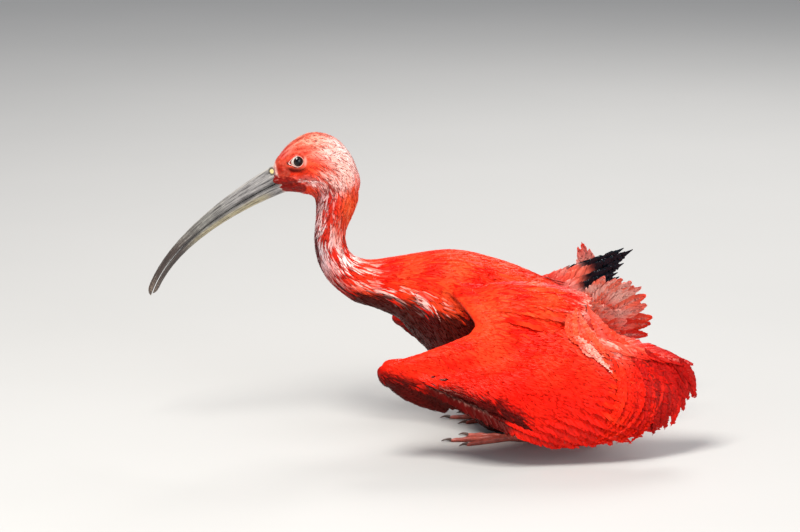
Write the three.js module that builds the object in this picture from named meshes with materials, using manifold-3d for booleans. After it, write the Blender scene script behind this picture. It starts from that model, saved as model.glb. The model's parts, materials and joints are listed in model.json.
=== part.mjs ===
// A life-size scarlet ibis sitting on its belly as it bathes, with both wings half open and its tail fanned
// and turned on its side.
// Millimetres, +Z up. The bird faces -X and its left side faces -Y. The origin is on the floor under its belly.
import * as THREE from "three";
import { mergeVertices } from "three/addons/utils/BufferGeometryUtils.js";
import Module from "manifold-3d";

const wasm = await Module();
wasm.setup();

const GAP = 0.3; // between the faces of neighbouring parts
const MERGE = 1e-4;
const SMOOTHED = 0.1; // faces are merged where that moves them less than this
const VANE_THICKNESS = 0.9;
const VANE_THINNING = 0.6; // a vane's thickness at its tip, as a share of that at its root
const NEAR = 0.02; // a short step along a feather, to read its direction
const WIDER = 0.05; // a step along an arm, to read the way it faces
const FLOOR_REACH = 900;

// The trunk, as upright sections: x, its top and bottom, and its half width.
const TORSO = [
  { x: -104, top: 155.5, bottom: 108, half: 21 },
  { x: -87, top: 158, bottom: 100.5, half: 26 },
  { x: -66, top: 161.5, bottom: 76, half: 37 },
  { x: -48, top: 163.5, bottom: 45, half: 47 },
  { x: -30, top: 162.5, bottom: 17, half: 54 },
  { x: -10, top: 157.5, bottom: -0.8, half: 58 },
  { x: 12, top: 150.5, bottom: -3, half: 59 },
  { x: 34, top: 141, bottom: -1.5, half: 56 },
  { x: 52, top: 131.5, bottom: 10, half: 49 },
  { x: 66, top: 122, bottom: 30, half: 40 },
  { x: 74, top: 113, bottom: 48, half: 29 },
  { x: 79, top: 103, bottom: 66, half: 16 },
];
const WAIST = 0.56; // share of a section's height at which it is widest
const TORSO_END = { x: 81, z: 86, radius: 6 };

// The neck, as sections across its line: the line's place, its direction in degrees, and the section's reach.
const NECK = [
  { x: -141, z: 226, pitch: -92, back: 15, front: 15, half: 13 },
  { x: -141.4, z: 210, pitch: -94, back: 19.6, front: 19.4, half: 15.5 },
  { x: -143.8, z: 195, pitch: -97, back: 16.8, front: 16.8, half: 14.2 },
  { x: -147, z: 181.5, pitch: -95, back: 14.5, front: 14.6, half: 13.2 },
  { x: -148, z: 169, pitch: -86, back: 14.9, front: 14.9, half: 13.4 },
  { x: -141.5, z: 148.5, pitch: -52, back: 16.6, front: 16.2, half: 14.6 },
  { x: -122, z: 135, pitch: -18, back: 20.4, front: 21, half: 17.5 },
];

// The head, as upright sections like the trunk's.
const HEAD = [
  { x: -196, top: 239.5, bottom: 214.5, half: 9.2 },
  { x: -188, top: 251.5, bottom: 213.5, half: 12.4 },
  { x: -178, top: 260.5, bottom: 213, half: 15 },
  { x: -166, top: 266, bottom: 210, half: 17.2 },
  { x: -152, top: 265.5, bottom: 206, half: 18.4 },
  { x: -140, top: 259.5, bottom: 203, half: 17.8 },
  { x: -129, top: 246.5, bottom: 205, half: 15.2 },
  { x: -123.5, top: 233, bottom: 211, half: 10.5 },
];
const HEAD_END = { x: -121, z: 222, radius: 4 };
const HEAD_WAIST = 0.5;

// How many rings and how many sides a body of flesh has.
const TORSO_MESH = { rings: 18, sides: 24 };
const NECK_MESH = { rings: 14, sides: 20 };
const HEAD_MESH = { rings: 13, sides: 22 };
const SCRAP = 500; // a cut-off piece of flesh smaller than this is dropped

// Cuts that part the flesh, each a thin plate: its centre, its direction and how far it reaches.
const CUTS = [
  { x: -141, z: 205, pitch: -83, reach: 60 },
  { x: -141.5, z: 148.5, pitch: -52, reach: 50 },
  { x: -92, z: 130, pitch: -4, reach: 80 },
];

const BILL = {
  length: 158, // along its curve
  base: { x: -190, z: 225.6 },
  slope: 26, // degrees below level at the base
  turn: 24, // further degrees, spread evenly along the bill
  hook: 22, // further degrees, near the tip
  baseDepth: 24,
  tipDepth: 7.5,
  taper: 1.6,
  baseHalf: 8.4,
  tipHalf: 2.7,
  sideTaper: 1.8,
  upperShare: 0.56,
  lowerReach: 0.985, // how far the lower half goes, as a share of the upper half's length
  blunting: 0.07, // share of the length over which the tip rounds off
  groove: 0.86, // the upper half's reach at its side grooves
  mouthGap: 0.5,
  sections: 15,
  crowding: 1.25, // sections stand closer towards the base by this power
  steps: 12, // between two sections, as the curve is walked
  sides: 12,
};
const NOSTRIL = { x: -206, y: 5.6, z: 224.5, reach: [4.2, 1.3, 0.95] };
// The crease that carries the mouth's line back from the bill on to the cheek.
const GAPE = { line: [[-199, 9.4, 221.5], [-188, 12.6, 220.5], [-175, 15.2, 222.5]], radii: [1.1, 0.9, 0.5] };

const EYE = {
  x: -175.4,
  y: 9.6,
  z: 242.5,
  radius: 6.2,
  detail: 14,
  lid: { y: 13.4, radius: 5.5, thick: 1, squash: [1.08, 0.94, 1], turn: 7 },
  orbit: { radius: 9.5, depth: 1.6, squash: [1, 1, 0.92], detail: 20 },
};

const LEG = {
  thigh: [[30, -40, 42], [58, -40, 27], [83, -38, 14]],
  thighRadii: [17, 13, 7],
  shank: [[89, -37, 5.4], [76, -37, 4], [36, -36.5, 3.4], [8, -36, 3.4]],
  shankRadii: [5.6, 3.8, 3.5, 4],
};
const TOES = [
  { length: 40, turn: -22 },
  { length: 52, turn: 4 },
  { length: 42, turn: 26 },
  { length: 22, turn: 168 },
];
// A toe's joints, as shares of its length with their heights, and a claw's, as reaches past the toe's end.
const TOE = { joints: [[0.3, 3.2], [0.55, 2.6], [1, 1.6]], radii: [3.2, 2.7, 2.6, 1.7] };
const CLAW = { joints: [[-2, 2], [4, 2.4], [8, 1.1]], radii: [1.5, 1.2, 0.4] };

// Each wing's pose, written as for a left wing; the right wing is built the same way and mirrored.
// Along each curve the points run from the body to the wrist, or from the wrist to the end of the hand.
// A bow is how far the middle of a feather swells out, as a share of its length.
const WINGS = {
  left: {
    leading: [[-50, -38, 139], [-33, -66, 125], [-25, -84, 111], [-58, -102, 100], [-97, -110, 88]],
    trailing: [[30, -42, 120], [38, -74, 102], [30, -97, 82], [-10, -109, 72], [-83, -112, 70]],
    wrist: { centre: [-92, -110, 78.5], radii: [15.5, 8.6, 13.5] },
    handLeading: [[-104, -110, 80], [-96, -110, 64], [-76, -108, 50], [-48, -105, 41]],
    handTrailing: [[-84, -110, 82], [-78, -109, 74], [-62, -107, 64], [-42, -104, 54]],
    secondaryRoots: { from: 0.26, to: 0.97, share: 0.72 },
    secondaryTips: [[163, -66, 72], [160, -77, 47], [136, -92, 25], [98, -106, 15], [52, -115, 12.5]],
    primaryTips: [[84, -90, 15], [118, -80, 16], [144, -68, 22], [154, -60, 33]],
    scapularTips: [[86, -50, 124], [72, -74, 110], [52, -98, 92]],
    secondaryBow: [0.02, -0.13, 0.04],
    primaryBow: [0, -0.03, -0.02],
    scapularSwell: 0.06,
    narrowing: 1,
    stack: 0,
    ramp: 0.001,
    counts: {
      secondaries: 12,
      primaries: 10,
      greaterCoverts: 8,
      primaryCoverts: 3,
      medianCoverts: 6,
      scapulars: 4,
    },
  },
  right: {
    leading: [[-50, -38, 139], [-36, -64, 124], [-22, -86, 100], [-52, -103, 90], [-88, -112, 84]],
    trailing: [[26, -42, 120], [42, -68, 104], [44, -90, 82], [0, -106, 80], [-68, -113, 80]],
    wrist: { centre: [-82, -109, 78], radii: [14, 8, 11] },
    handLeading: [[-92, -106, 76], [-82, -102, 64], [-66, -98, 55], [-42, -94, 49]],
    handTrailing: [[-72, -105, 84], [-62, -100, 79], [-50, -96, 74], [-34, -92, 68]],
    secondaryRoots: { from: 0.5, to: 0.95, share: 0.88 },
    secondaryTips: [[71, -82, 149], [81, -92, 143], [88, -98, 134], [92, -103, 124], [90, -109, 113]],
    primaryTips: [[84, -74, 130], [104, -66, 149], [115, -60, 153.5], [122.5, -58, 145], [117, -60, 131]],
    scapularTips: [[68, -48, 113], [62, -66, 107], [56, -84, 98]],
    secondaryBow: [0.3, -0.04, -0.12],
    primaryBow: [0, -0.03, -0.07],
    scapularSwell: 0,
    narrowing: 0.74,
    stack: 1,
    ramp: 0.2,
    counts: {
      secondaries: 9,
      primaries: 8,
      greaterCoverts: 3,
      primaryCoverts: 2,
      medianCoverts: 2,
      scapulars: 3,
    },
  },
};
const ARM = { rootThickness: 24, wristThickness: 12, narrowing: 1.4, sections: 8, sides: 8 };
const HAND = { thickness: 9, tipThickness: 6, sections: 5, sides: 8 };
// Where rows of feathers start on the arm or hand: from and to along it, share across it from its leading edge,
// and how high over its middle as a share of its thickness there.
const PRIMARY_ROW = { from: 0.06, to: 0.94, share: 0.62, facing: 0.5 };
const MEDIAN_ROW = { from: 0.2, to: 0.94, share: 0.3, height: 0.72, swell: 0.02, end: 0.24, endLift: 7.6 };
const SCAPULAR_ROW = { from: 0.06, to: 0.42, facing: 0.1, share: 0.3, lastShare: 0.34, height: 0.7 };
// The stretch of a flight feather that the coverts over it take up.
const GREATER_REACH = [0.02, 0.48];
const PRIMARY_REACH = [0.02, 0.34];
// Feathers of a row are tilted like slats, and each lies a step above the next one out.
const FEATHERS = {
  secondaries: { width: 26, tilt: 7, step: 0.45, lift: 0 },
  primaries: { width: 21, tilt: 8, step: 0.9, lift: -4 },
  greaterCoverts: { width: 32, tilt: 6, step: 0.5, lift: 4 },
  primaryCoverts: { width: 18, tilt: 8, step: 1.3, lift: 0.5 },
  medianCoverts: { width: 33, tilt: 6, step: 0.5, lift: 1 },
  scapulars: { width: 36, tilt: 7, step: 0.6, lift: 3 },
};
const TAIL = {
  root: [58, 0, 84],
  rise: 30, // degrees above level
  roll: 60, // degrees that its left edge is turned down
  spread: 33, // degrees from the middle to each edge
  length: 80,
  stubLength: 41,
  stubHalf: [24, 20],
  stubDepth: [18, 6],
  pairs: 6,
  taper: 0.9, // how much shorter each feather is than the next one in
  width: 23,
  tilt: 12,
  from: 26, // how far from the root its vanes start
  first: 3, // degrees from the middle to the first feather, and how high the one on the left lies
  swell: 0.03,
  sink: 0.6, // a covert's height at its root, as a share of that at its end
  stubRings: 6,
  stubSides: 18,
};
const TAIL_COVERTS = { length: 56, width: 20, tilt: 6, from: 24, shortening: 0.25 };
const TAIL_COVERT_ROWS = [
  { count: 5, lift: 6.5, spread: 30 },
  { count: 3, lift: -5.5, spread: 28 },
];

// How a vane's width runs from its root to its tip, as pairs of place and share of the full width.
const FLIGHT_SHAPE = [[0, 0.34], [0.3, 0.86], [0.66, 1], [0.88, 0.84], [0.97, 0.5], [1, 0.14]];
const COVERT_SHAPE = [[0, 0.5], [0.5, 1], [0.84, 0.78], [1, 0.2]];

const COLOURS = {
  scarlet: { color: 0xe4200d, roughness: 0.55, metalness: 0 },
  face: { color: 0xd8402c, roughness: 0.5, metalness: 0 },
  bill: { color: 0x4b4a47, roughness: 0.4, metalness: 0 },
  eye: { color: 0x0b0b10, roughness: 0.1, metalness: 0 },
  leg: { color: 0xc9604f, roughness: 0.5, metalness: 0 },
};

const vector = (p) => new THREE.Vector3(p[0], p[1], p[2]);
const radians = THREE.MathUtils.degToRad;
const lerp = THREE.MathUtils.lerp;

// The direction in the upright middle plane that lies at an angle above level, and the one square to it.
const along = (pitch) => new THREE.Vector3(Math.cos(radians(pitch)), 0, Math.sin(radians(pitch)));
const across = (pitch) => along(pitch + 90);

function geometryOf(points, triangles) {
  const geometry = new THREE.BufferGeometry().setFromPoints(points);
  geometry.setIndex(triangles);
  return geometry;
}

// A closed three.js geometry as a solid, turned so that its faces point out.
function solidOf(geometry) {
  const bare = geometry.clone();
  bare.deleteAttribute("normal");
  bare.deleteAttribute("uv");
  const merged = mergeVertices(bare, MERGE);
  const triVerts = Uint32Array.from(merged.index.array);
  const vertProperties = Float32Array.from(merged.attributes.position.array);
  const made = new wasm.Manifold(new wasm.Mesh({ numProp: 3, vertProperties, triVerts }));
  if (made.volume() > 0) return made;
  for (let i = 0; i < triVerts.length; i += 3) {
    [triVerts[i + 1], triVerts[i + 2]] = [triVerts[i + 2], triVerts[i + 1]];
  }
  return new wasm.Manifold(new wasm.Mesh({ numProp: 3, vertProperties, triVerts }));
}

const union = (solids) => wasm.Manifold.union(solids);

// The largest closed surface of a solid, without loose scraps or sealed hollows, and with flat faces merged.
function largest(solid) {
  const larger = (best, piece) => (piece.volume() > best.volume() ? piece : best);
  const pick = (whole) => whole.decompose().reduce(larger);
  return pick(pick(solid).simplify(SMOOTHED));
}

// A closed body through rings of the same number of points, closed by a fan at each end.
function loft(rings) {
  const sides = rings[0].length;
  const points = rings.flat();
  const triangles = [];
  for (let r = 0; r < rings.length - 1; r++) {
    for (let k = 0; k < sides; k++) {
      const a = r * sides + k;
      const b = r * sides + ((k + 1) % sides);
      triangles.push(a, b, b + sides, a, b + sides, a + sides);
    }
  }
  for (const [r, turned] of [[0, false], [rings.length - 1, true]]) {
    const middle = rings[r].reduce((sum, p) => sum.add(p), new THREE.Vector3()).divideScalar(sides);
    const centre = points.push(middle) - 1;
    for (let k = 0; k < sides; k++) {
      const a = r * sides + k;
      const b = r * sides + ((k + 1) % sides);
      triangles.push(...(turned ? [a, b, centre] : [b, a, centre]));
    }
  }
  return solidOf(geometryOf(points, triangles));
}

// An egg-shaped ring round a centre: upper and lower are its reach along up, half is its reach along side.
function ring(centre, up, side, upper, lower, half, sides) {
  return Array.from({ length: sides }, (_, k) => {
    const turn = (2 * Math.PI * (k + 0.5)) / sides;
    const rise = Math.sin(turn);
    return centre
      .clone()
      .addScaledVector(side, half * Math.cos(turn))
      .addScaledVector(up, rise * (rise > 0 ? upper : lower));
  });
}

// Rows of named numbers, read at count even steps along a smooth curve through them.
function smooth(rows, count) {
  const keys = Object.keys(rows[0]);
  const places = rows.map((_, i) => i);
  const curve = new THREE.CubicInterpolant(places, rows.flatMap((row) => keys.map((k) => row[k])), keys.length);
  return Array.from({ length: count }, (_, i) => {
    const values = curve.evaluate((i * (rows.length - 1)) / (count - 1));
    return Object.fromEntries(keys.map((k, j) => [k, values[j]]));
  });
}

const WIDE = new THREE.Vector3(0, 1, 0);
const UP = new THREE.Vector3(0, 0, 1);

// An upright section of the head or trunk as a ring, with its skin moved out by grow.
function uprightRing({ x, top, bottom, half }, waist, sides, grow) {
  const z = lerp(bottom, top, waist);
  return ring(new THREE.Vector3(x, 0, z), UP, WIDE, top - z + grow, z - bottom + grow, half + grow, sides);
}

function neckRing({ x, z, pitch, back, front, half }, grow) {
  const centre = new THREE.Vector3(x, 0, z);
  return ring(centre, across(pitch), WIDE, back + grow, front + grow, half + grow, NECK_MESH.sides);
}

// A small ring that closes a rounded end at a point.
function endRing({ x, z, radius }, sides, grow) {
  return ring(new THREE.Vector3(x + grow, 0, z), UP, WIDE, radius, radius, radius, sides);
}

function torsoSolid(grow) {
  const rings = smooth(TORSO, TORSO_MESH.rings).map((row) => uprightRing(row, WAIST, TORSO_MESH.sides, grow));
  return loft([...rings, endRing(TORSO_END, TORSO_MESH.sides, grow)]);
}

function headSolid(grow) {
  const rings = smooth(HEAD, HEAD_MESH.rings).map((row) => uprightRing(row, HEAD_WAIST, HEAD_MESH.sides, grow));
  rings[0].forEach((p) => (p.x -= grow));
  return loft([...rings, endRing(HEAD_END, HEAD_MESH.sides, grow)]);
}

function neckSolid(grow) {
  const rings = smooth(NECK, NECK_MESH.rings).map((row) => neckRing(row, grow));
  const joined = TORSO.slice(0, 3).map(({ x, top, bottom, half }) => {
    const z = (top + bottom) / 2;
    return { x, z, pitch: CUTS.at(-1).pitch, back: top - z, front: z - bottom, half };
  });
  return loft([...rings, ...joined.map((row) => neckRing(row, grow))]);
}

// A thin plate across the middle plane, used to part the flesh.
function plate({ x, z, pitch, reach }) {
  const box = new THREE.BoxGeometry(GAP, reach, reach);
  box.rotateY(-radians(pitch));
  box.translate(x, 0, z);
  return solidOf(box);
}

function belowFloor() {
  const box = new THREE.BoxGeometry(FLOOR_REACH, FLOOR_REACH, FLOOR_REACH);
  box.translate(0, 0, -FLOOR_REACH / 2);
  return solidOf(box);
}

function ball(radius, centre, scale = [1, 1, 1], detail = 16) {
  const sphere = new THREE.SphereGeometry(radius, detail, Math.round(detail * 0.6));
  sphere.scale(...scale);
  sphere.translate(...centre);
  return solidOf(sphere);
}

// The ring that rounds off a limb's end: its share of the radius there, and how many radii past the end it is.
const CAP_FAR = [0.55, 0.84];
const CAP_NEAR = [0.55, -0.84];

// A round limb through points, with a radius at each, and rounded ends.
function limb(points, radii, { grow = 0, sides = 12, steps = 6 } = {}) {
  const line = new THREE.CatmullRomCurve3(points.map(vector), false, "centripetal");
  const rings = [];
  const radiusAt = (t) => {
    const place = t * (radii.length - 1);
    const low = Math.min(Math.floor(place), radii.length - 2);
    return lerp(radii[low], radii[low + 1], place - low) + grow;
  };
  const round = (t, share, shift) => {
    const tangent = line.getTangent(t);
    const side = new THREE.Vector3().crossVectors(UP, tangent).normalize();
    const up = new THREE.Vector3().crossVectors(tangent, side);
    const centre = line.getPoint(t).addScaledVector(tangent, shift * radiusAt(t));
    const r = radiusAt(t) * share;
    rings.push(ring(centre, up, side, r, r, r, sides));
  };
  round(0, ...CAP_NEAR);
  for (let i = 0; i <= steps; i++) round(i / steps, 1, 0);
  round(1, ...CAP_FAR);
  return loft(rings);
}

// A feather as a thin, curved, closed plate. path gives its middle line, normal the side that shows,
// and tilt lifts its leading edge, so that each feather passes over the next one out.
function vane({ path, normal, width, tilt, shape, thickness = VANE_THICKNESS }) {
  const top = [];
  const bottom = [];
  for (const [t, share] of shape) {
    const tangent = path(Math.min(t + NEAR, 1)).sub(path(Math.max(t - NEAR, 0))).normalize();
    const lead = new THREE.Vector3().crossVectors(tangent, normal(t)).normalize();
    lead.applyAxisAngle(tangent, radians(-tilt));
    const out = new THREE.Vector3().crossVectors(lead, tangent);
    const half = (width * share) / 2;
    const thick = lerp(thickness, thickness * VANE_THINNING, t);
    for (const edge of [1, -1]) {
      const place = path(t).addScaledVector(lead, edge * half);
      top.push(place.clone().addScaledVector(out, thick / 2));
      bottom.push(place.clone().addScaledVector(out, -thick / 2));
    }
  }
  const points = [...top, ...bottom];
  const under = top.length;
  const triangles = [];
  for (let i = 0; i < top.length - 2; i += 2) {
    const [a, b, c, d] = [i, i + 1, i + 3, i + 2];
    triangles.push(a, b, c, a, c, d);
    triangles.push(a + under, c + under, b + under, a + under, d + under, c + under);
    triangles.push(a, d, d + under, a, d + under, a + under);
    triangles.push(b, c + under, c, b, b + under, c + under);
  }
  const last = top.length - 2;
  triangles.push(0, under, under + 1, 0, under + 1, 1);
  triangles.push(last, last + 1, last + 1 + under, last, last + 1 + under, last + under);
  return solidOf(geometryOf(points, triangles));
}

const curveOf = (points) => new THREE.CatmullRomCurve3(points.map(vector), false, "catmullrom", 0.5);

// The flat body of an arm or hand between two edges, thickest near its leading edge.
function limbPlate(leading, trailing, thicknessAt, sections, sides) {
  const edge = (u) => leading.getPoint(u);
  const rear = (u) => trailing.getPoint(u);
  const normal = (u) => {
    const [after, before] = [Math.min(u + WIDER, 1), Math.max(u - WIDER, 0)];
    const span = edge(after).sub(edge(before)).add(rear(after)).sub(rear(before));
    return span.cross(rear(u).sub(edge(u))).normalize();
  };
  const at = (u, v, lift = 0) =>
    edge(u)
      .lerp(rear(u), v)
      .addScaledVector(normal(u), (lift * thicknessAt(u)) / 2);
  const rings = [];
  for (let i = 0; i < sections; i++) {
    const u = i / (sections - 1);
    rings.push(
      Array.from({ length: sides }, (_, k) => {
        const turn = (2 * Math.PI * (k + 0.5)) / sides;
        return at(u, (1 - Math.cos(turn)) / 2, Math.sin(turn));
      }),
    );
  }
  return { solid: loft(rings), at, normal };
}

// Feathers side by side: count of them, each made by describe from its place u between 0 and 1 along the row.
function row({ width, tilt, step, lift }, count, { stack, narrowing }, shape, describe) {
  return Array.from({ length: count }, (_, i) => {
    const u = i / (count - 1);
    const { path, normal } = describe(u, lift + (step + stack) * (count - 1 - i));
    return vane({ path, normal: () => normal, width: width * narrowing, tilt, shape });
  });
}

// A path from a root towards a tip that swells by a bow and is lifted clear of its root, between two shares of
// its length.
function arched({ root, tip, bow, normal, lift = 0, start = 0, end = 1, ramp = 1e-3 }) {
  const length = root.distanceTo(tip);
  return (t) => {
    const s = lerp(start, end, t);
    return root
      .clone()
      .lerp(tip, s)
      .addScaledVector(bow, 4 * s * (1 - s) * length)
      .addScaledVector(normal, lift * Math.min(1, s / ramp));
  };
}

function wingSolid(pose) {
  const armThickness = (u) => lerp(ARM.rootThickness, ARM.wristThickness, Math.min(1, u * ARM.narrowing));
  const arm = limbPlate(curveOf(pose.leading), curveOf(pose.trailing), armThickness, ARM.sections, ARM.sides);
  const handThickness = (u) => lerp(HAND.thickness, HAND.tipThickness, u);
  const hand = limbPlate(
    curveOf(pose.handLeading), curveOf(pose.handTrailing), handThickness, HAND.sections, HAND.sides,
  );
  const wrist = ball(1, pose.wrist.centre, pose.wrist.radii, 12);
  const secondaryTips = curveOf(pose.secondaryTips);
  const primaryTips = curveOf(pose.primaryTips);
  const scapularTips = curveOf(pose.scapularTips);

  const secondary = (u, lift, start, end) => {
    const place = lerp(pose.secondaryRoots.from, pose.secondaryRoots.to, u);
    const normal = arm.normal(place);
    const root = arm.at(place, pose.secondaryRoots.share);
    const [tip, bow] = [secondaryTips.getPoint(u), vector(pose.secondaryBow)];
    return { path: arched({ root, tip, bow, normal, lift, start, end, ramp: pose.ramp }), normal };
  };
  const primary = (u, lift, start, end) => {
    const { from, to, share, facing } = PRIMARY_ROW;
    const normal = hand.normal(facing);
    const root = hand.at(lerp(from, to, u), share);
    const tip = primaryTips.getPoint(u);
    const bow = vector(pose.primaryBow);
    return { path: arched({ root, tip, bow, normal, lift, start, end }), normal };
  };
  const median = (u, lift) => {
    const { from, to, share, height, swell, end, endLift } = MEDIAN_ROW;
    const place = lerp(from, to, u);
    const normal = arm.normal(place);
    const tip = secondary(u, endLift, 0, 1).path(end);
    const bow = normal.clone().multiplyScalar(swell);
    return { path: arched({ root: arm.at(place, share, height), tip, bow, normal, lift }), normal };
  };
  const scapular = (u, lift) => {
    const { from, to, facing, share, lastShare, height } = SCAPULAR_ROW;
    const normal = arm.normal(lerp(facing, to, u));
    const root = arm.at(lerp(from, to, u), lerp(share, lastShare, u), height);
    const bow = normal.clone().multiplyScalar(pose.scapularSwell);
    return { path: arched({ root, tip: scapularTips.getPoint(u), bow, normal, lift }), normal };
  };
  const feathers = (kind, shape, describe) => row(FEATHERS[kind], pose.counts[kind], pose, shape, describe);
  return largest(
    union([
      arm.solid,
      hand.solid,
      wrist,
      ...feathers("primaries", FLIGHT_SHAPE, (u, lift) => primary(u, lift, 0, 1)),
      ...feathers("primaryCoverts", COVERT_SHAPE, (u, lift) => primary(u, lift, ...PRIMARY_REACH)),
      ...feathers("secondaries", FLIGHT_SHAPE, (u, lift) => secondary(u, lift, 0, 1)),
      ...feathers("greaterCoverts", COVERT_SHAPE, (u, lift) => secondary(u, lift, ...GREATER_REACH)),
      ...feathers("medianCoverts", COVERT_SHAPE, median),
      ...feathers("scapulars", COVERT_SHAPE, scapular),
    ]),
  );
}

// The tail's own frame: its axis, the direction to its left edge and the side that is its upper one.
function tailFrame() {
  const axis = along(TAIL.rise);
  const left = new THREE.Vector3(0, -1, 0).applyAxisAngle(axis, -radians(TAIL.roll));
  const above = new THREE.Vector3().crossVectors(left, axis).negate();
  return { axis, left, above: above.z < 0 ? above.negate() : above };
}

function tailSolid() {
  const { axis, left, above } = tailFrame();
  const root = vector(TAIL.root);
  const stub = Array.from({ length: TAIL.stubRings }, (_, i) => {
    const t = i / (TAIL.stubRings - 1);
    const centre = root.clone().addScaledVector(axis, TAIL.stubLength * t);
    const half = lerp(...TAIL.stubHalf, t);
    const depth = lerp(...TAIL.stubDepth, t);
    return ring(centre, above, left, depth, depth, half, TAIL.stubSides);
  });
  const feather = ({ turn, reach, from, lift, tilt, width, shape }) => {
    const sideways = Math.sin(radians(turn));
    const way = axis.clone().multiplyScalar(Math.cos(radians(turn))).addScaledVector(left, sideways);
    const start = root.clone().addScaledVector(way, from).addScaledVector(above, lift * TAIL.sink);
    const end = root.clone().addScaledVector(way, reach).addScaledVector(above, lift);
    const bow = above.clone().multiplyScalar(TAIL.swell);
    const path = arched({ root: start, tip: end, bow, normal: above });
    return vane({ path, normal: () => above, width, tilt, shape });
  };
  const vanes = [];
  for (const edge of [1, -1]) {
    for (let k = 0; k < TAIL.pairs; k++) {
      const turn = edge * lerp(TAIL.first, TAIL.spread, k / (TAIL.pairs - 1));
      const lying = k === 0 && edge === 1;
      const reach = TAIL.length - k * TAIL.taper;
      const [lift, tilt] = lying ? [TAIL.first, 0] : [0, -edge * TAIL.tilt];
      vanes.push(feather({ turn, reach, from: TAIL.from, lift, tilt, width: TAIL.width, shape: FLIGHT_SHAPE }));
    }
  }
  for (const { count, lift, spread } of TAIL_COVERT_ROWS) {
    const { length, width, tilt, from, shortening } = TAIL_COVERTS;
    for (let k = 0; k < count; k++) {
      const turn = lerp(-spread, spread, k / (count - 1));
      const reach = length - shortening * Math.abs(turn);
      vanes.push(feather({ turn, reach, from, lift, tilt, width, shape: COVERT_SHAPE }));
    }
  }
  return union([loft(stub), ...vanes]);
}

// One half of the bill along its curve: part is 1 for the upper half and -1 for the lower.
function billHalf(part) {
  const { length, base, slope, turn, hook, sections, steps, sides } = BILL;
  const reach = part > 0 ? 1 : BILL.lowerReach;
  const share = part > 0 ? BILL.upperShare : 1 - BILL.upperShare;
  const pitchAt = (f) => 180 + slope + turn * f + hook * f ** 4;
  const place = new THREE.Vector3(base.x, 0, base.z);
  const rings = [];
  let gone = 0;
  for (let i = 0; i < sections; i++) {
    const f = reach * (1 - (1 - i / (sections - 1)) ** BILL.crowding);
    for (let j = 0; j < steps; j++) {
      const middle = lerp(gone, f, (j + 0.5) / steps);
      place.addScaledVector(along(pitchAt(middle)), ((f - gone) * length) / steps);
    }
    gone = f;
    const up = across(pitchAt(f)).negate();
    const depth = BILL.tipDepth + (BILL.baseDepth - BILL.tipDepth) * (1 - f) ** BILL.taper;
    const rounding = Math.max(0, (f / reach - 1 + BILL.blunting) / BILL.blunting);
    const blunt = Math.sqrt(Math.max(0.04, 1 - rounding ** 2));
    const half = blunt * (BILL.tipHalf + (BILL.baseHalf - BILL.tipHalf) * (1 - f) ** BILL.sideTaper);
    const rise = depth * (0.5 - BILL.upperShare) + (part * BILL.mouthGap) / 2;
    const split = place.clone().addScaledVector(up, rise);
    rings.push(
      Array.from({ length: sides + 1 }, (_, k) => {
        const angle = (Math.PI * k) / sides;
        const groove = part > 0 && (k === sides / 4 || k === (3 * sides) / 4) ? BILL.groove : 1;
        return split
          .clone()
          .addScaledVector(WIDE, half * groove * Math.cos(angle))
          .addScaledVector(up, part * groove * blunt * depth * share * Math.sin(angle));
      }),
    );
  }
  return loft(rings);
}

// Slots for the nostrils, near the base of the bill and above its grooves.
function nostril(side) {
  const slot = new THREE.SphereGeometry(1, 12, 8);
  slot.scale(...NOSTRIL.reach);
  slot.rotateY(radians(-BILL.slope));
  slot.translate(NOSTRIL.x, side * NOSTRIL.y, NOSTRIL.z);
  return solidOf(slot);
}

function lidRing(side) {
  const { y, radius, thick, squash, turn } = EYE.lid;
  const torus = new THREE.TorusGeometry(radius, thick, 6, 16);
  torus.scale(...squash);
  torus.rotateX(Math.PI / 2);
  torus.rotateZ(side * radians(turn));
  torus.translate(EYE.x, side * y, EYE.z);
  return solidOf(torus);
}

function gape(side) {
  const line = GAPE.line.map(([x, y, z]) => [x, side * y, z]);
  return limb(line, GAPE.radii, { sides: 6, steps: 3 });
}

function fleshParts() {
  const whole = union([headSolid(0), neckSolid(0), torsoSolid(0)]);
  const parted = CUTS.reduce((rest, cut) => rest.subtract(plate(cut)), whole);
  const height = (solid) => {
    const box = solid.boundingBox();
    return (box.min[2] + box.max[2]) / 2;
  };
  const pieces = parted.decompose().filter((piece) => piece.volume() > SCRAP);
  return pieces.sort((a, b) => height(b) - height(a));
}

const eyeball = (side, grow) => ball(EYE.radius + grow, [EYE.x, side * EYE.y, EYE.z], [1, 1, 1], EYE.detail);

function headWithFeatures(head) {
  let made = head;
  for (const side of [1, -1]) {
    const { radius, depth, squash, detail } = EYE.orbit;
    const orbit = ball(radius, [EYE.x, side * (EYE.lid.y + radius - depth), EYE.z], squash, detail);
    made = made.subtract(orbit).add(lidRing(side)).subtract(eyeball(side, GAP)).subtract(gape(side));
  }
  return largest(made);
}

const thigh = (grow) => limb(LEG.thigh, LEG.thighRadii, { grow });
const shank = (grow) => limb(LEG.shank, LEG.shankRadii, { grow, sides: 8 });

function foot() {
  const start = vector(LEG.shank.at(-1));
  const toes = TOES.map(({ length, turn }) => {
    const way = new THREE.Vector3(-Math.cos(radians(turn)), -Math.sin(radians(turn)), 0);
    const at = (distance, z) => start.clone().addScaledVector(way, distance).setZ(z).toArray();
    const joints = TOE.joints.map(([share, z]) => at(length * share, z));
    const claw = CLAW.joints.map(([reach, z]) => at(length + reach, z));
    const toe = limb([start.toArray(), ...joints], TOE.radii, { sides: 7, steps: 4 });
    return toe.add(limb(claw, CLAW.radii, { sides: 5, steps: 2 }));
  });
  return union(toes);
}

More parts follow.
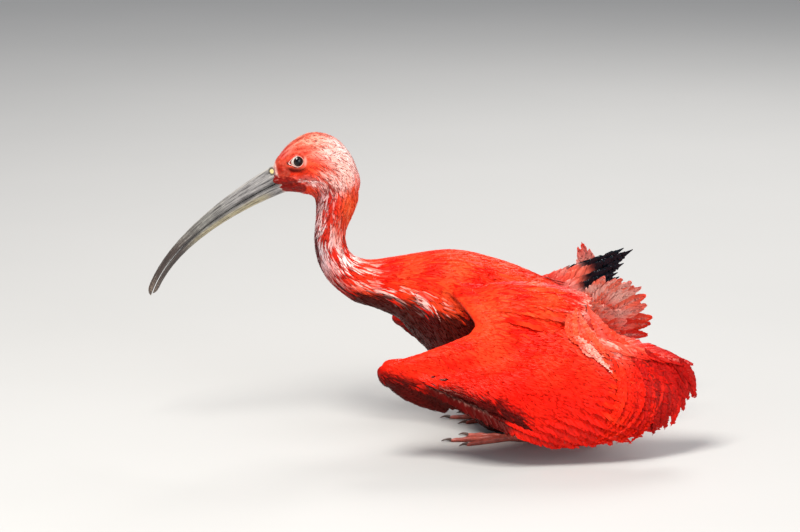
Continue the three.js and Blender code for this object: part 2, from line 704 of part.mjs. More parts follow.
// A solid seen in a mirror across the middle plane.
function mirrored(solid) {
  const { vertProperties, triVerts } = solid.getMesh();
  for (let i = 1; i < vertProperties.length; i += 3) vertProperties[i] *= -1;
  const points = [];
  for (let i = 0; i < vertProperties.length; i += 3) {
    points.push(new THREE.Vector3(...vertProperties.slice(i, i + 3)));
  }
  return solidOf(geometryOf(points, Array.from(triVerts)));
}

const bird = new THREE.Group();

function show(name, solid, colour) {
  const { vertProperties, triVerts } = largest(solid).getMesh();
  const geometry = new THREE.BufferGeometry();
  geometry.setAttribute("position", new THREE.BufferAttribute(Float32Array.from(vertProperties), 3));
  geometry.setIndex(new THREE.BufferAttribute(Uint32Array.from(triVerts), 1));
  geometry.computeVertexNormals();
  const mesh = new THREE.Mesh(geometry, new THREE.MeshStandardMaterial(COLOURS[colour]));
  mesh.name = name;
  bird.add(mesh);
}

const [head, neckUpper, neckLower, torso] = fleshParts();
const floor = belowFloor();
const grownTorso = torsoSolid(GAP);
const grownHead = headSolid(GAP);

show("head", headWithFeatures(head), "scarlet");
show("neck_upper", neckUpper, "scarlet");
show("neck_lower", neckLower, "scarlet");
show("torso", torso.subtract(floor), "scarlet");
show("bill_upper", largest(billHalf(1).subtract(grownHead).subtract(nostril(1)).subtract(nostril(-1))), "bill");
show("bill_lower", largest(billHalf(-1).subtract(grownHead)), "bill");
show("tail", largest(tailSolid().subtract(grownTorso)), "scarlet");

for (const [name, side] of [["left", -1], ["right", 1]]) {
  const placed = (solid) => (side < 0 ? solid : mirrored(solid));
  const neckGrown = neckSolid(GAP);
  const wing = wingSolid(WINGS[name]).subtract(grownTorso).subtract(neckGrown);
  show("wing_" + name, placed(largest(wing)), "scarlet");
  show("eye_" + name, eyeball(side, 0), "eye");
  const thighCut = largest(thigh(0).subtract(grownTorso));
  const shankCut = largest(shank(0).subtract(thigh(GAP)).subtract(floor));
  show("thigh_" + name, placed(thighCut), "scarlet");
  show("shank_" + name, placed(shankCut), "leg");
  show("foot_" + name, placed(largest(foot().subtract(shank(GAP)).subtract(floor))), "leg");
}

export default bird;
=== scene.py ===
"""A life-size scarlet ibis that sits on its belly as it bathes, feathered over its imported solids.

Metres, +Z up. The bird faces -X, its left side faces -Y, and it rests on the floor at Z = 0. Sizes and places
are written in millimetres and turned into metres where a mesh is made.
"""
from __future__ import annotations

import json
import logging
import math
from contextlib import contextmanager
from dataclasses import dataclass, replace
from enum import Enum
from typing import Callable, Iterator, Sequence

import bpy
import numpy as np
from mathutils import Matrix, Vector
from mathutils.bvhtree import BVHTree

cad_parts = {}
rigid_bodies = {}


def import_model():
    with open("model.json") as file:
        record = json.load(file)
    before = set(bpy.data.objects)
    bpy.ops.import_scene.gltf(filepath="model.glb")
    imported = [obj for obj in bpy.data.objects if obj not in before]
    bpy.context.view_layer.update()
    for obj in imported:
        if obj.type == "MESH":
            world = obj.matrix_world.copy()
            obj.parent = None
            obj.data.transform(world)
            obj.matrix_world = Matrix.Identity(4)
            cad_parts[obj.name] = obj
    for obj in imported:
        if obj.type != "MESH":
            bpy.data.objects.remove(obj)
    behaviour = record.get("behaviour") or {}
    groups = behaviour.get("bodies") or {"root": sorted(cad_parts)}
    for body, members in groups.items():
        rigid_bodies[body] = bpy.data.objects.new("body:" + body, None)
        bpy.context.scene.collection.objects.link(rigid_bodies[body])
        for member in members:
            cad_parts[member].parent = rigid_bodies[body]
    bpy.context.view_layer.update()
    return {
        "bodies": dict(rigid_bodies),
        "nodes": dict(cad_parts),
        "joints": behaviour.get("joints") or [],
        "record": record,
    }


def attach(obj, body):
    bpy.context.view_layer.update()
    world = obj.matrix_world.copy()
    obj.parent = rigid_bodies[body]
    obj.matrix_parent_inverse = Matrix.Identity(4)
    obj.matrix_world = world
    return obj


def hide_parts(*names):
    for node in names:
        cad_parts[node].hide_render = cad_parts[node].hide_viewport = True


LOG = logging.getLogger("ibis")

MM = 0.001
SEED = 5
PATCH = 0.003  # side of a small feather's patch on the baking map
UV_BAKE = "OFBake"
UV_VANE = "Vane"
TINT = "Tint"
BARE = "Bare"

Array = np.ndarray
Random = np.random.Generator
Pair = tuple[float, float]
Triple = tuple[float, float, float]
Route = Callable[[Array], Array]
Dye = Callable[[Array, Array], Array]
Thing = bpy.types.Object
Material = bpy.types.Material
Socket = bpy.types.NodeSocket
Sockets = bpy.types.NodeInputs
Tree = bpy.types.NodeTree
Values = dict[str | int, object]


class Side(Enum):
    """The bird's two sides, with the sign of their Y."""

    LEFT = -1
    RIGHT = 1

    @property
    def word(self) -> str:
        """The side's name as it stands in the nodes' names."""
        return self.name.lower()


def srgb(code: str) -> Array:
    """Turns a colour code of six hexadecimal digits into linear red, green and blue between 0 and 1."""
    raw = np.array([int(code[i : i + 2], 16) / 255 for i in (0, 2, 4)])
    return np.where(raw <= 0.04045, raw / 12.92, ((raw + 0.055) / 1.055) ** 2.4)


def unit(vectors: Array) -> Array:
    """Gives vectors a length of 1."""
    return vectors / np.maximum(np.linalg.norm(vectors, axis=-1, keepdims=True), 1e-9)


def smoothstep(low: float, high: float, values: Array) -> Array:
    """A soft step from 0 at low to 1 at high."""
    t = np.clip((values - low) / (high - low), 0, 1)
    return t * t * (3 - 2 * t)


def mix(a: Array, b: Array, share: Array) -> Array:
    """Goes from a to b by a share between 0 and 1."""
    return a + (b - a) * share


def dyed(colours: Array, code: str, share: Array) -> Array:
    """Mixes a colour into others, by one share for each of them."""
    return mix(colours, srgb(code), np.reshape(share, (-1, 1)))


def ripple(points: Array, size: float, seed: int) -> Array:
    """A smooth random field made of a few waves.

    Args:
        points: places in millimetres, with x, y and z last.
        size: the rough width of its bumps in millimetres.
        seed: picks another field.
    Returns:
        One value between -1 and 1 for each place.
    """
    draw = np.random.default_rng(seed)
    ways = unit(draw.normal(size=(7, 3))) * (2 * math.pi / size) * draw.uniform(0.5, 1.3, (7, 1))
    phases = draw.uniform(0, 2 * math.pi, 7)
    return np.sin(points @ ways.T + phases).sum(-1) / 3.4


def curve(points: Sequence[Sequence[float]], share: Array) -> Array:
    """Reads a smooth curve through points that stand evenly along it, at shares of its length.

    Args:
        points: places that it goes through, evenly along it.
        share: shares of its length.
    Returns:
        The places at those shares.
    """
    given = np.asarray(points, float)
    ends = np.vstack([2 * given[0] - given[1], given, 2 * given[-1] - given[-2]])
    place = np.clip(np.asarray(share, float), 0, 1) * (len(given) - 1)
    low = np.minimum(place.astype(int), len(given) - 2)
    w = (place - low)[..., None]
    p0, p1, p2, p3 = (ends[low + k] for k in range(4))
    m1, m2 = (p2 - p0) / 2, (p3 - p1) / 2
    starting = (2 * w**3 - 3 * w**2 + 1) * p1 + (w**3 - 2 * w**2 + w) * m1
    return starting + (3 * w**2 - 2 * w**3) * p2 + (w**3 - w**2) * m2


def profile(shape: Sequence[Pair], places: Array) -> Array:
    """Reads a feather's width, as a share of its full width, at places between its root and its tip."""
    return np.interp(places, *np.transpose(shape))


# Mesh work


def select_none() -> None:
    """Leaves nothing selected and nothing active."""
    for thing in bpy.context.selected_objects:
        thing.select_set(False)
    bpy.context.view_layer.objects.active = None


def make_active(*things: Thing) -> None:
    """Selects some objects alone and makes the first of them the active one."""
    select_none()
    for thing in things:
        thing.select_set(True)
    bpy.context.view_layer.objects.active = things[0]


def edit_mode(on: bool = True) -> None:
    """Goes into edit mode or out of it."""
    bpy.ops.object.mode_set(mode="EDIT" if on else "OBJECT")


@contextmanager
def editing(thing: Thing, select: str = "SELECT") -> Iterator[None]:
    """Opens an object in edit mode with all of it selected or not, and closes it afterwards.

    Args:
        thing: the object.
        select: the action that selects all of it or none.
    """
    make_active(thing)
    edit_mode()
    bpy.ops.mesh.select_all(action=select)
    yield
    edit_mode(False)


def joined(parts: Sequence[Thing]) -> Thing:
    """Joins pieces into the first of them."""
    make_active(*parts)
    bpy.ops.object.join()
    return parts[0]


def apply_modifier(thing: Thing, kind: str, **values: object) -> None:
    """Adds a modifier, sets its values and applies it.

    Args:
        thing: the object.
        kind: the modifier's type.
        values: its settings.
    """
    make_active(thing)
    modifier = thing.modifiers.new(kind.title(), kind)
    for name, value in values.items():
        setattr(modifier, name, value)
    bpy.ops.object.modifier_apply(modifier=modifier.name)


def settle(thing: Thing, name: str, angle: float = 40) -> Thing:
    """Names a finished piece, puts its place into its mesh and smooths its faces.

    Args:
        thing: the piece.
        name: its name.
        angle: degrees; a sharper edge than this stays sharp.
    Returns:
        The piece.
    """
    make_active(thing)
    bpy.ops.object.transform_apply(location=True, rotation=True, scale=True)
    bpy.ops.object.shade_smooth_by_angle(angle=math.radians(angle))
    thing.name = name
    thing.data.name = name
    return thing


def read(rows: bpy.types.bpy_prop_collection, name: str, size: int = 1, kind: type = np.int32) -> Array:
    """Reads one value, or some numbers in a row, from each element of a mesh.

    Args:
        rows: the mesh's elements.
        name: which of their values.
        size: how many numbers each has.
        kind: the numbers' type.
    Returns:
        A number, or a row of them, for each element.
    """
    found = np.empty(len(rows) * size, kind)
    rows.foreach_get(name, found)
    return found.reshape(-1, size) if size > 1 else found


def points_of(thing: Thing) -> Array:
    """Reads an object's points in millimetres."""
    return read(thing.data.vertices, "co", 3, float) / MM


def set_points(thing: Thing, points: Array) -> None:
    """Writes an object's points from millimetres."""
    thing.data.vertices.foreach_set("co", (points * MM).ravel())
    thing.data.update()


def mesh_of(name: str, points: Array, quads: Array, triangles: Array, sharp: Array | None = None) -> Thing:
    """Makes an object from arrays.

    Args:
        name: the piece's name.
        points: places in millimetres.
        quads: four point numbers for each face.
        triangles: three point numbers for each face.
        sharp: a code for each point; an edge between two like codes above 0 is a sharp one.
    Returns:
        The new object, smooth but for its sharp edges.
    """
    mesh = bpy.data.meshes.new(name)
    corners = np.concatenate([quads.ravel(), triangles.ravel()]).astype(np.int32)
    starts = np.concatenate([np.arange(len(quads)) * 4, len(quads) * 4 + np.arange(len(triangles)) * 3])
    mesh.vertices.add(len(points))
    mesh.vertices.foreach_set("co", (points * MM).astype(np.float32).ravel())
    mesh.loops.add(len(corners))
    mesh.loops.foreach_set("vertex_index", corners)
    mesh.polygons.add(len(starts))
    mesh.polygons.foreach_set("loop_start", starts.astype(np.int32))
    mesh.update(calc_edges=True)
    mesh.shade_smooth()
    if sharp is not None:
        codes = sharp[read(mesh.edges, "vertices", 2)]
        marked = (codes[:, 0] == codes[:, 1]) & (codes[:, 0] > 0)
        mesh.attributes.new("sharp_edge", "BOOLEAN", "EDGE").data.foreach_set("value", marked)
    thing = bpy.data.objects.new(name, mesh)
    bpy.context.scene.collection.objects.link(thing)
    return thing


def ring_quads(rings: Array, following: Array) -> Array:
    """Joins rings of point numbers, each closed round, to those that follow them."""
    return np.stack([rings, np.roll(rings, -1, 1), np.roll(following, -1, 1), following], -1).reshape(-1, 4)


def lofted(name: str, rings: Sequence[Array]) -> Thing:
    """Closes a body over rings of places in millimetres, with its ends capped by fans.

    Args:
        name: the body's name.
        rings: the places of each ring, all with as many.
    Returns:
        The new object, with its faces pointing out.
    """
    count, sides = len(rings), len(rings[0])
    points = np.concatenate([*rings, [rings[0].mean(0)], [rings[-1].mean(0)]])
    grid = np.arange(count * sides).reshape(count, sides)
    first, last = grid[0], grid[-1]
    fans = [
        np.stack([np.roll(first, -1), first, np.full(sides, count * sides)], -1),
        np.stack([last, np.roll(last, -1), np.full(sides, count * sides + 1)], -1),
    ]
    thing = mesh_of(name, points, ring_quads(grid[:-1], grid[1:]), np.concatenate(fans))
    with editing(thing):
        bpy.ops.mesh.normals_make_consistent(inside=False)
    return thing


def prisms(line: Array, out: Array, half: Array, crest: Array, droop: Array) -> tuple[Array, Array, Array]:
    """Shapes slender closed forms with a ridged back and a flat underside, such as small feathers.

    Args:
        line: the middle line of each, by form and station, in millimetres.
        out: the way each station's back faces.
        half: half widths by form and station.
        crest: how far the ridge stands above the line.
        droop: how far the edges hang below it.
    Returns:
        The points by form, station and corner, the quads and the end triangles.
    """
    count, rows = line.shape[:2]
    side = unit(np.cross(np.gradient(line, axis=1), out))
    ridge = line + out * crest[..., None]
    edges = [line + side * (half * sign)[..., None] - out * droop[..., None] for sign in (1, -1)]
    points = np.stack([ridge, *edges], axis=2)
    base = (np.arange(count)[:, None] * rows * 3 + np.arange(rows - 1)[None] * 3).reshape(-1, 1)
    sides = ((0, 1, 4, 3), (0, 3, 5, 2), (2, 5, 4, 1))
    quads = np.concatenate([base + np.array(corners) for corners in sides])
    first = (np.arange(count) * rows * 3)[:, None]
    last = first + (rows - 1) * 3
    return points, quads, np.concatenate([first + np.array((0, 2, 1)), last + np.array((0, 1, 2))])


def set_map(thing: Thing, name: str, places: Array) -> None:
    """Gives an object a UV map from one place for each of its points."""
    layer = thing.data.uv_layers.new(name=name, do_init=False)
    layer.data.foreach_set("uv", places[read(thing.data.loops, "vertex_index")].astype(np.float32).ravel())


def set_tint(thing: Thing, colours: Array) -> None:
    """Gives an object its colour for each of its points, in linear light."""
    full = np.concatenate([colours, np.ones((len(colours), 1))], axis=1).astype(np.float32)
    thing.data.color_attributes.new(TINT, "FLOAT_COLOR", "POINT").data.foreach_set("color", full.ravel())


@dataclass(frozen=True)
class Section:
    """One ring of a swept body: its middle, its reach sideways, up and down, and its turn in degrees."""

    middle: Triple
    half: float
    rise: float
    drop: float
    turn: float = 0.0


def sweep(name: str, sections: Sequence[Section], sides: int) -> Thing:
    """Models a closed body by hand: a ring at each section, bridged to the next, and capped.

    Args:
        name: the piece's name.
        sections: the rings in order.
        sides: points in each ring.
    Returns:
        The new object, with its faces pointing out.
    """
    select_none()
    upright = (math.pi / 2, 0, math.pi / 2)
    thing = None
    for section in sections:
        middle = Vector(section.middle) * MM
        bpy.ops.mesh.primitive_circle_add(vertices=sides, radius=MM, location=middle, rotation=upright)
        if thing is None:
            thing = bpy.context.object
            bpy.ops.object.transform_apply(location=True, rotation=True, scale=True)
            edit_mode()
            bpy.ops.mesh.select_all(action="SELECT")
        bpy.ops.transform.resize(value=(1, section.half, section.rise), center_override=middle)
        if section.drop != section.rise:
            flatten_below(thing, middle, section.drop / section.rise, sides)
        if section.turn:
            turn = math.radians(section.turn)
            bpy.ops.transform.rotate(value=turn, orient_axis="Z", center_override=middle)
    bpy.ops.mesh.select_all(action="SELECT")
    bpy.ops.mesh.bridge_edge_loops()
    bpy.ops.mesh.select_all(action="DESELECT")
    bpy.ops.mesh.select_non_manifold(extend=False)
    bpy.ops.mesh.fill_holes(sides=0)
    bpy.ops.mesh.select_all(action="SELECT")
    bpy.ops.mesh.normals_make_consistent(inside=False)
    edit_mode(False)
    return settle(thing, name)


def flatten_below(thing: Thing, middle: Vector, share: float, sides: int) -> None:
    """Scales the lower half of the ring added last, which is in edit mode, and selects the ring again.

    Args:
        thing: the body in the making.
        middle: the ring's middle in metres.
        share: what is left of the lower half's height.
        sides: points in the ring.
    """
    edit_mode(False)
    points = thing.data.vertices
    ring = range(len(points) - sides, len(points))
    for i in ring:
        points[i].select = points[i].co.z < middle.z - 1e-7
    edit_mode()
    bpy.ops.transform.resize(value=(1, 1, share), center_override=middle)
    edit_mode(False)
    for i in ring:
        points[i].select = True
    edit_mode()


# Node work


def opaque(colour: object) -> object:
    """Gives a plain colour its fourth number, and leaves a socket as it is."""
    return colour if isinstance(colour, Socket) else (*colour, 1)


@dataclass
class Graph:
    """A node tree, with short ways to add and join its nodes."""

    tree: Tree

    def add(self, kind: str, values: Values | None = None, **settings: object) -> bpy.types.Node:
        """Adds a node.

        Args:
            kind: the node's type, without its first word where that says only that it is a shader's.
            values: inputs by name; a socket is joined, anything else is set.
            settings: the node's own options.
        Returns:
            The new node.
        """
        node = self.tree.nodes.new(kind if kind.startswith("Node") else "ShaderNode" + kind)
        for name, value in settings.items():
            setattr(node, name, value)
        for name, value in (values or {}).items():
            if isinstance(value, Socket):
                self.join(value, node.inputs[name])
            else:
                node.inputs[name].default_value = value
        return node

    def join(self, source: Socket, target: Socket) -> None:
        """Joins an output to an input."""
        self.tree.links.new(source, target)

    def math(self, operation: str, first: object, second: object = 0.0, clamp: bool = False) -> Socket:
        """Works out a sum, a product or the like."""
        return self.add("Math", {0: first, 1: second}, operation=operation, use_clamp=clamp).outputs[0]

    def plus(self, first: object, second: object, clamp: bool = False) -> Socket:
        """Adds two values."""
        return self.math("ADD", first, second, clamp)

    def times(self, first: object, second: object) -> Socket:
        """Multiplies two values."""
        return self.math("MULTIPLY", first, second)

    def blend(self, share: object, first: object, second: object, way: str = "MIX") -> Socket:
        """Mixes two colours by a share."""
        values = {0: share, 6: opaque(first), 7: opaque(second)}
        return self.add("Mix", values, data_type="RGBA", blend_type=way, clamp_result=True).outputs[2]

    def ramp(self, source: object, *stops: Pair) -> Socket:
        """Turns a value into another through grey stops of place and value.

        Args:
            source: the value.
            stops: each one's place and value.
        Returns:
            The new value.
        """
        node = self.add("ValToRGB", {0: source})
        row = node.color_ramp.elements
        while len(row) < len(stops):
            row.new(0.5)
        for element, (place, value) in zip(row, stops):
            element.position = place
            element.color = (value, value, value, 1)
        return node.outputs[0]

    def noise(self, place: Socket, scale: object, detail: float, roughness: float = 0.5) -> Socket:
        """Adds soft noise."""
        values = {"Vector": place, "Scale": scale, "Detail": detail, "Roughness": roughness}
        return self.add("TexNoise", values).outputs[0]

    def parts(self, vector: Socket) -> Sequence[Socket]:
        """Splits a vector into its numbers."""
        return self.add("SeparateXYZ", {0: vector}).outputs

    def whole(self, *numbers: object) -> Socket:
        """Makes a vector of numbers."""
        return self.add("CombineXYZ", dict(enumerate(numbers))).outputs[0]


class Effects:
    """Node groups that more than one finish uses."""

    def __init__(self) -> None:
        self.barbs = self.make("Barbs", "Vane", ["Fineness", "Spread"], ["Height", "Shade"], self.lay_barbs)
        self.mottle = self.make("Mottle", "Place", ["Scale", "Contrast"], ["Value"], self.lay_mottle)
        self.creases = self.make("Creases", "Place", ["Scale", "Stretch"], ["Height"], self.lay_creases)

    def make(
        self, name: str, vector: str, numbers: list[str], outputs: list[str], lay: Callable[..., None]
    ) -> Tree:
        """Makes a group with its sockets and fills it.

        Args:
            name: the group's name.
            vector: its input that is a vector.
            numbers: its inputs that are numbers.
            outputs: its outputs, all numbers.
            lay: adds the nodes between them.
        Returns:
            The group.
        """
        tree = bpy.data.node_groups.new(name, "ShaderNodeTree")
        tree.interface.new_socket(vector, in_out="INPUT", socket_type="NodeSocketVector")
        for way, labels in (("INPUT", numbers), ("OUTPUT", outputs)):
            for label in labels:
                tree.interface.new_socket(label, in_out=way, socket_type="NodeSocketFloat")
        graph = Graph(tree)
        lay(graph, graph.add("NodeGroupInput").outputs, graph.add("NodeGroupOutput").inputs)
        return tree

    @staticmethod
    def lay_barbs(graph: Graph, given: Sockets, result: Sockets) -> None:
        """Fine lines that run slantwise from a feather's shaft to its edges, gathered in wet strands.

        Args:
            graph: adds the nodes.
            given: the group's inputs.
            result: its outputs.
        """
        parts = graph.parts(given["Vane"])
        across = graph.math("ABSOLUTE", graph.math("SUBTRACT", parts["X"], 0.5))
        along = graph.math("SUBTRACT", parts["Y"], graph.times(across, 1.15))
        line = graph.times(along, given["Fineness"])
        fine = graph.noise(graph.whole(line, graph.times(parts["X"], given["Spread"])), 1.0, 3.0, 0.65)
        graph.join(fine, result["Height"])
        graph.join(graph.ramp(fine, (0.3, 0.0), (0.7, 1.0)), result["Shade"])

    @staticmethod
    def lay_mottle(graph: Graph, given: Sockets, result: Sockets) -> None:
        """Soft blotches on the object's own coordinates."""
        centred = graph.math("SUBTRACT", graph.noise(given["Place"], given["Scale"], 4.0), 0.5)
        graph.join(graph.plus(graph.times(centred, given["Contrast"]), 0.5, clamp=True), result["Value"])

    @staticmethod
    def lay_creases(graph: Graph, given: Sockets, result: Sockets) -> None:
        """Pebbled and creased skin: cells with deep borders over softer folds.

        Args:
            graph: adds the nodes.
            given: the group's inputs.
            result: its outputs.
        """
        shape = graph.whole(given["Stretch"], 1.0, 1.0)
        stretched = graph.add("VectorMath", {0: given["Place"], 1: shape}, operation="MULTIPLY").outputs[0]
        cells = graph.add("TexVoronoi", {"Vector": stretched, "Scale": given["Scale"]}, feature="F1")
        softer = graph.noise(stretched, given["Scale"], 5.0)
        graph.join(graph.plus(graph.times(cells.outputs["Distance"], -0.6), softer), result["Height"])


@dataclass
class Canvas(Graph):
    """A material's node tree, with its shader's sockets and the parts that its finishes share."""

    effects: Effects
    shader: Sockets | None = None

    def attribute(self, name: str, output: str = "Color") -> Socket:
        """Reads an attribute of the piece."""
        return self.add("Attribute", attribute_name=name).outputs[output]

    def vane(self) -> Socket:
        """Reads the map along and across a feather or the bill."""
        return self.add("UVMap", uv_map=UV_VANE).outputs[0]

    def place(self) -> Socket:
        """The object's own coordinates."""
        return self.add("TexCoord").outputs["Object"]

    def use(self, group: Tree, values: Values) -> Sockets:
        """Places a shared group and gives its outputs."""
        return self.add("Group", values, node_tree=group).outputs

    def mottle(self, scale: float, contrast: float) -> Socket:
        """Places soft blotches."""
        values = {"Place": self.place(), "Scale": scale, "Contrast": contrast}
        return self.use(self.effects.mottle, values)["Value"]

    def creases(self, scale: float, stretch: float) -> Socket:
        """Places pebbled, creased relief."""
        values = {"Place": self.place(), "Scale": scale, "Stretch": stretch}
        return self.use(self.effects.creases, values)["Height"]

    def off_axis(self, x: float, z: float) -> Socket:
        """The distance from a line that runs along Y through a place in millimetres, in centimetres."""
        flat = {"Vector": self.place(), "Location": (-x * MM, 0, -z * MM), "Scale": (1, 0, 1)}
        length = self.add("VectorMath", {0: self.add("Mapping", flat).outputs[0]}, operation="LENGTH")
        return self.times(length.outputs["Value"], 0.1 / MM)

    def colour(self, colour: Socket) -> None:
        """Joins a colour to the shader."""
        self.join(colour, self.shader["Base Color"])

    def rough(self, value: Socket, reach: float, middle: float) -> None:
        """Lets a value move the shader's roughness within a reach about its middle."""
        self.join(self.plus(self.times(value, reach), middle - reach / 2), self.shader["Roughness"])

    def bump(self, height: Socket, strength: float, depth: float) -> None:
        """Joins a height to the shader's normal: depth in metres."""
        node = self.add("Bump", {"Strength": strength, "Distance": depth, "Height": height})
        self.join(node.outputs[0], self.shader["Normal"])


@dataclass(frozen=True)
class Finish:
    """A material: what every finish here shares."""

    name: str
    roughness: float = 0.5
    coat: float = 0.0
    coat_roughness: float = 0.1
    specular: float = 0.5
    specular_tint: Triple = (1.0, 1.0, 1.0)

    def make(self, effects: Effects) -> Material:
        """Makes the material.

        Args:
            effects: the shared node groups.
        Returns:
            The finished material.
        """
        material = bpy.data.materials.new(self.name)
        material.use_nodes = True
        material.node_tree.nodes.clear()
        canvas = Canvas(material.node_tree, effects)
        values = {
            "Roughness": self.roughness,
            "Coat Weight": self.coat,
            "Coat Roughness": self.coat_roughness,
            "Specular IOR Level": self.specular,
            "Specular Tint": (*self.specular_tint, 1.0),
        }
        shader = canvas.add("BsdfPrincipled", values)
        canvas.join(shader.outputs[0], canvas.add("OutputMaterial").inputs[0])
        canvas.shader = shader.inputs
        self.paint(canvas)
        return material

    def paint(self, canvas: Canvas) -> None:
        """Adds what changes over the surface."""
        raise NotImplementedError


@dataclass(frozen=True)
class PlumageFinish(Finish):
    """Wet feathers: each one's own tint with painted shade between its strands, and an uneven satin gloss."""

    fineness: float = 120
    spread: float = 5
    groove: float = 0.00025
    strand_shade: float = 0.4

    def paint(self, canvas: Canvas) -> None:
        """Adds what changes over the surface.

        Args:
            canvas: the material's nodes.
        """
        tint = canvas.attribute(TINT)
        values = {"Vane": canvas.vane(), "Fineness": self.fineness, "Spread": self.spread}
        barbs = canvas.use(canvas.effects.barbs, values)
        # painted shade in the gaps between the strands
        dark = canvas.blend(1.0, tint, (0.62, 0.5, 0.55), "MULTIPLY")
        share = canvas.times(canvas.math("SUBTRACT", 1.0, barbs["Shade"]), self.strand_shade)
        canvas.colour(canvas.blend(share, tint, dark))
        light = canvas.ramp(canvas.add("RGBToBW", {0: tint}).outputs[0], (0.0, 0.5), (0.08, 1.0))
        rough = canvas.plus(canvas.times(canvas.mottle(60.0, 1.6), 0.22), self.roughness - 0.11)
        rough = canvas.plus(rough, canvas.times(barbs["Shade"], 0.06))
        canvas.join(canvas.times(rough, light), canvas.shader["Roughness"])
        canvas.bump(barbs["Height"], 0.7, self.groove)


@dataclass(frozen=True)
class SkinFinish(Finish):
    """The skin under the feathers, and the bare creased skin of the face."""

    def paint(self, canvas: Canvas) -> None:
        """Adds what changes over the surface.

        Args:
            canvas: the material's nodes.
        """
        tint, bare = canvas.attribute(TINT), canvas.attribute(BARE, "Fac")
        creases, blotch = canvas.creases(520.0, 0.6), canvas.mottle(140.0, 1.8)
        flushed = canvas.blend(blotch, tint, canvas.blend(1.0, tint, (1.45, 1.25, 1.25), "MULTIPLY"))
        shaded = canvas.blend(canvas.ramp(creases, (0.2, 1.0), (0.55, 0.0)), flushed, (0.2, 0.008, 0.006))
        canvas.colour(canvas.blend(bare, tint, shaded))
        canvas.rough(blotch, 0.2, self.roughness)
        canvas.bump(canvas.times(creases, bare), 0.9, 0.0007)


@dataclass(frozen=True)
class BillFinish(Finish):
    """Horn that goes from slate at the face to ridged brown at the tip, with worn streaks."""

    spot: Pair = (-197.6, 232.2)

    def paint(self, canvas: Canvas) -> None:
        """Adds what changes over the surface.

        Args:
            canvas: the material's nodes.
        """
        tint, (x, y, _) = canvas.attribute(TINT), canvas.parts(canvas.vane())
        streak, ridge = (
            canvas.noise(canvas.whole(canvas.times(x, across), canvas.times(y, along)), 1.0, *fine)
            for across, along, fine in ((22.0, 7.0, (6.0, 0.7)), (3.0, 90.0, (3.0,)))
        )
        outer = canvas.times(y, y)
        worn = canvas.blend(canvas.ramp(streak, (0.39, 0.92), (0.5, 0.0)), tint, (0.03, 0.026, 0.026))
        pale = canvas.blend(canvas.ramp(streak, (0.54, 0.0), (0.7, 0.6)), worn, (0.66, 0.62, 0.56))
        grooves = canvas.times(canvas.ramp(ridge, (0.4, 1.0), (0.6, 0.0)), outer)
        ringed = canvas.blend(grooves, pale, (0.05, 0.032, 0.028))
        away = canvas.off_axis(*self.spot)
        rimmed = canvas.blend(canvas.ramp(away, (0.26, 0.9), (0.36, 0.0)), ringed, (0.03, 0.022, 0.014))
        canvas.colour(canvas.blend(canvas.ramp(away, (0.15, 1.0), (0.21, 0.0)), rimmed, (0.62, 0.5, 0.2)))
        canvas.rough(streak, 0.3, self.roughness)
        canvas.bump(canvas.plus(streak, canvas.times(ridge, outer)), 0.6, 0.0006)


@dataclass(frozen=True)
class SpeckledFinish(Finish):
    """One colour broken by blotches of a second, with pebbled relief, as on legs and claws."""

    main: str = "C9604F"
    second: str = "8E3B30"
    scale: float = 420
    stretch: float = 0.5
    relief: float = 0.0004

    def paint(self, canvas: Canvas) -> None:
        """Adds what changes over the surface.

        Args:
            canvas: the material's nodes.
        """
        blotch = canvas.mottle(self.scale * 0.4, 2.4)
        canvas.colour(canvas.blend(blotch, srgb(self.main), srgb(self.second)))
        canvas.rough(blotch, 0.2, self.roughness)
        canvas.bump(canvas.creases(self.scale, self.stretch), 0.7, self.relief)


@dataclass(frozen=True)
class EyeFinish(Finish):
    """A wet dark eye: a black pupil in a dark brown iris, and a pale rim of white towards the bill."""

    middle: Pair = (0, 0)
    pupil: float = 2.7
    iris: float = 4.35

    def paint(self, canvas: Canvas) -> None:
        """Adds what changes over the surface.

        Args:
            canvas: the material's nodes.
        """
        away = canvas.off_axis(*self.middle)
        fibres = canvas.noise(canvas.place(), 900.0, 2.0)
        iris = canvas.blend(fibres, (0.008, 0.004, 0.004), (0.035, 0.014, 0.01))
        dark = canvas.blend(canvas.math("LESS_THAN", away, self.pupil / 10), iris, (0.002, 0.002, 0.004))
        edge = canvas.ramp(away, (self.iris / 10 - 0.02, 0.0), (self.iris / 10 + 0.02, 1.0))
        canvas.colour(canvas.blend(edge, dark, (0.62, 0.55, 0.5)))


@dataclass(frozen=True)
class FloorFinish(Finish):
    """A plain pale matt floor with the faintest unevenness."""

    def paint(self, canvas: Canvas) -> None:
        """Adds what changes over the surface."""
        canvas.colour(canvas.blend(canvas.mottle(3.0, 0.8), (0.5, 0.5, 0.49), (0.54, 0.535, 0.525)))


# The bird's shape and colours

SPINE = [
    (-198, 224), (-186, 233), (-172, 239), (-158, 237), (-147, 229), (-141, 212), (-143.8, 195),
    (-147, 181.5), (-148, 169), (-141.5, 148.5), (-122, 135), (-92, 130), (-60, 118), (-30, 95),
    (0, 80), (40, 76), (84, 88), (120, 108),
]
# Along the spine: distance from the bill, a feather's length, width, spacing and lift, and the skin's depth.
COAT_ROWS = [
    (0, 2.6, 0.8, 0.95, 0.12, 0.4),
    (25, 4.5, 0.95, 1.05, 0.2, 0.7),
    (60, 7.5, 1.2, 1.2, 0.3, 1.0),
    (85, 11.0, 1.35, 1.3, 0.4, 1.3),
    (120, 16.0, 1.5, 1.4, 0.34, 1.6),
    (150, 18.0, 1.7, 1.5, 0.32, 1.9),
    (185, 20.0, 1.9, 1.6, 0.32, 2.1),
    (230, 21.0, 2.0, 1.7, 0.32, 2.2),
    (400, 22.0, 2.1, 1.75, 0.32, 2.2),
]
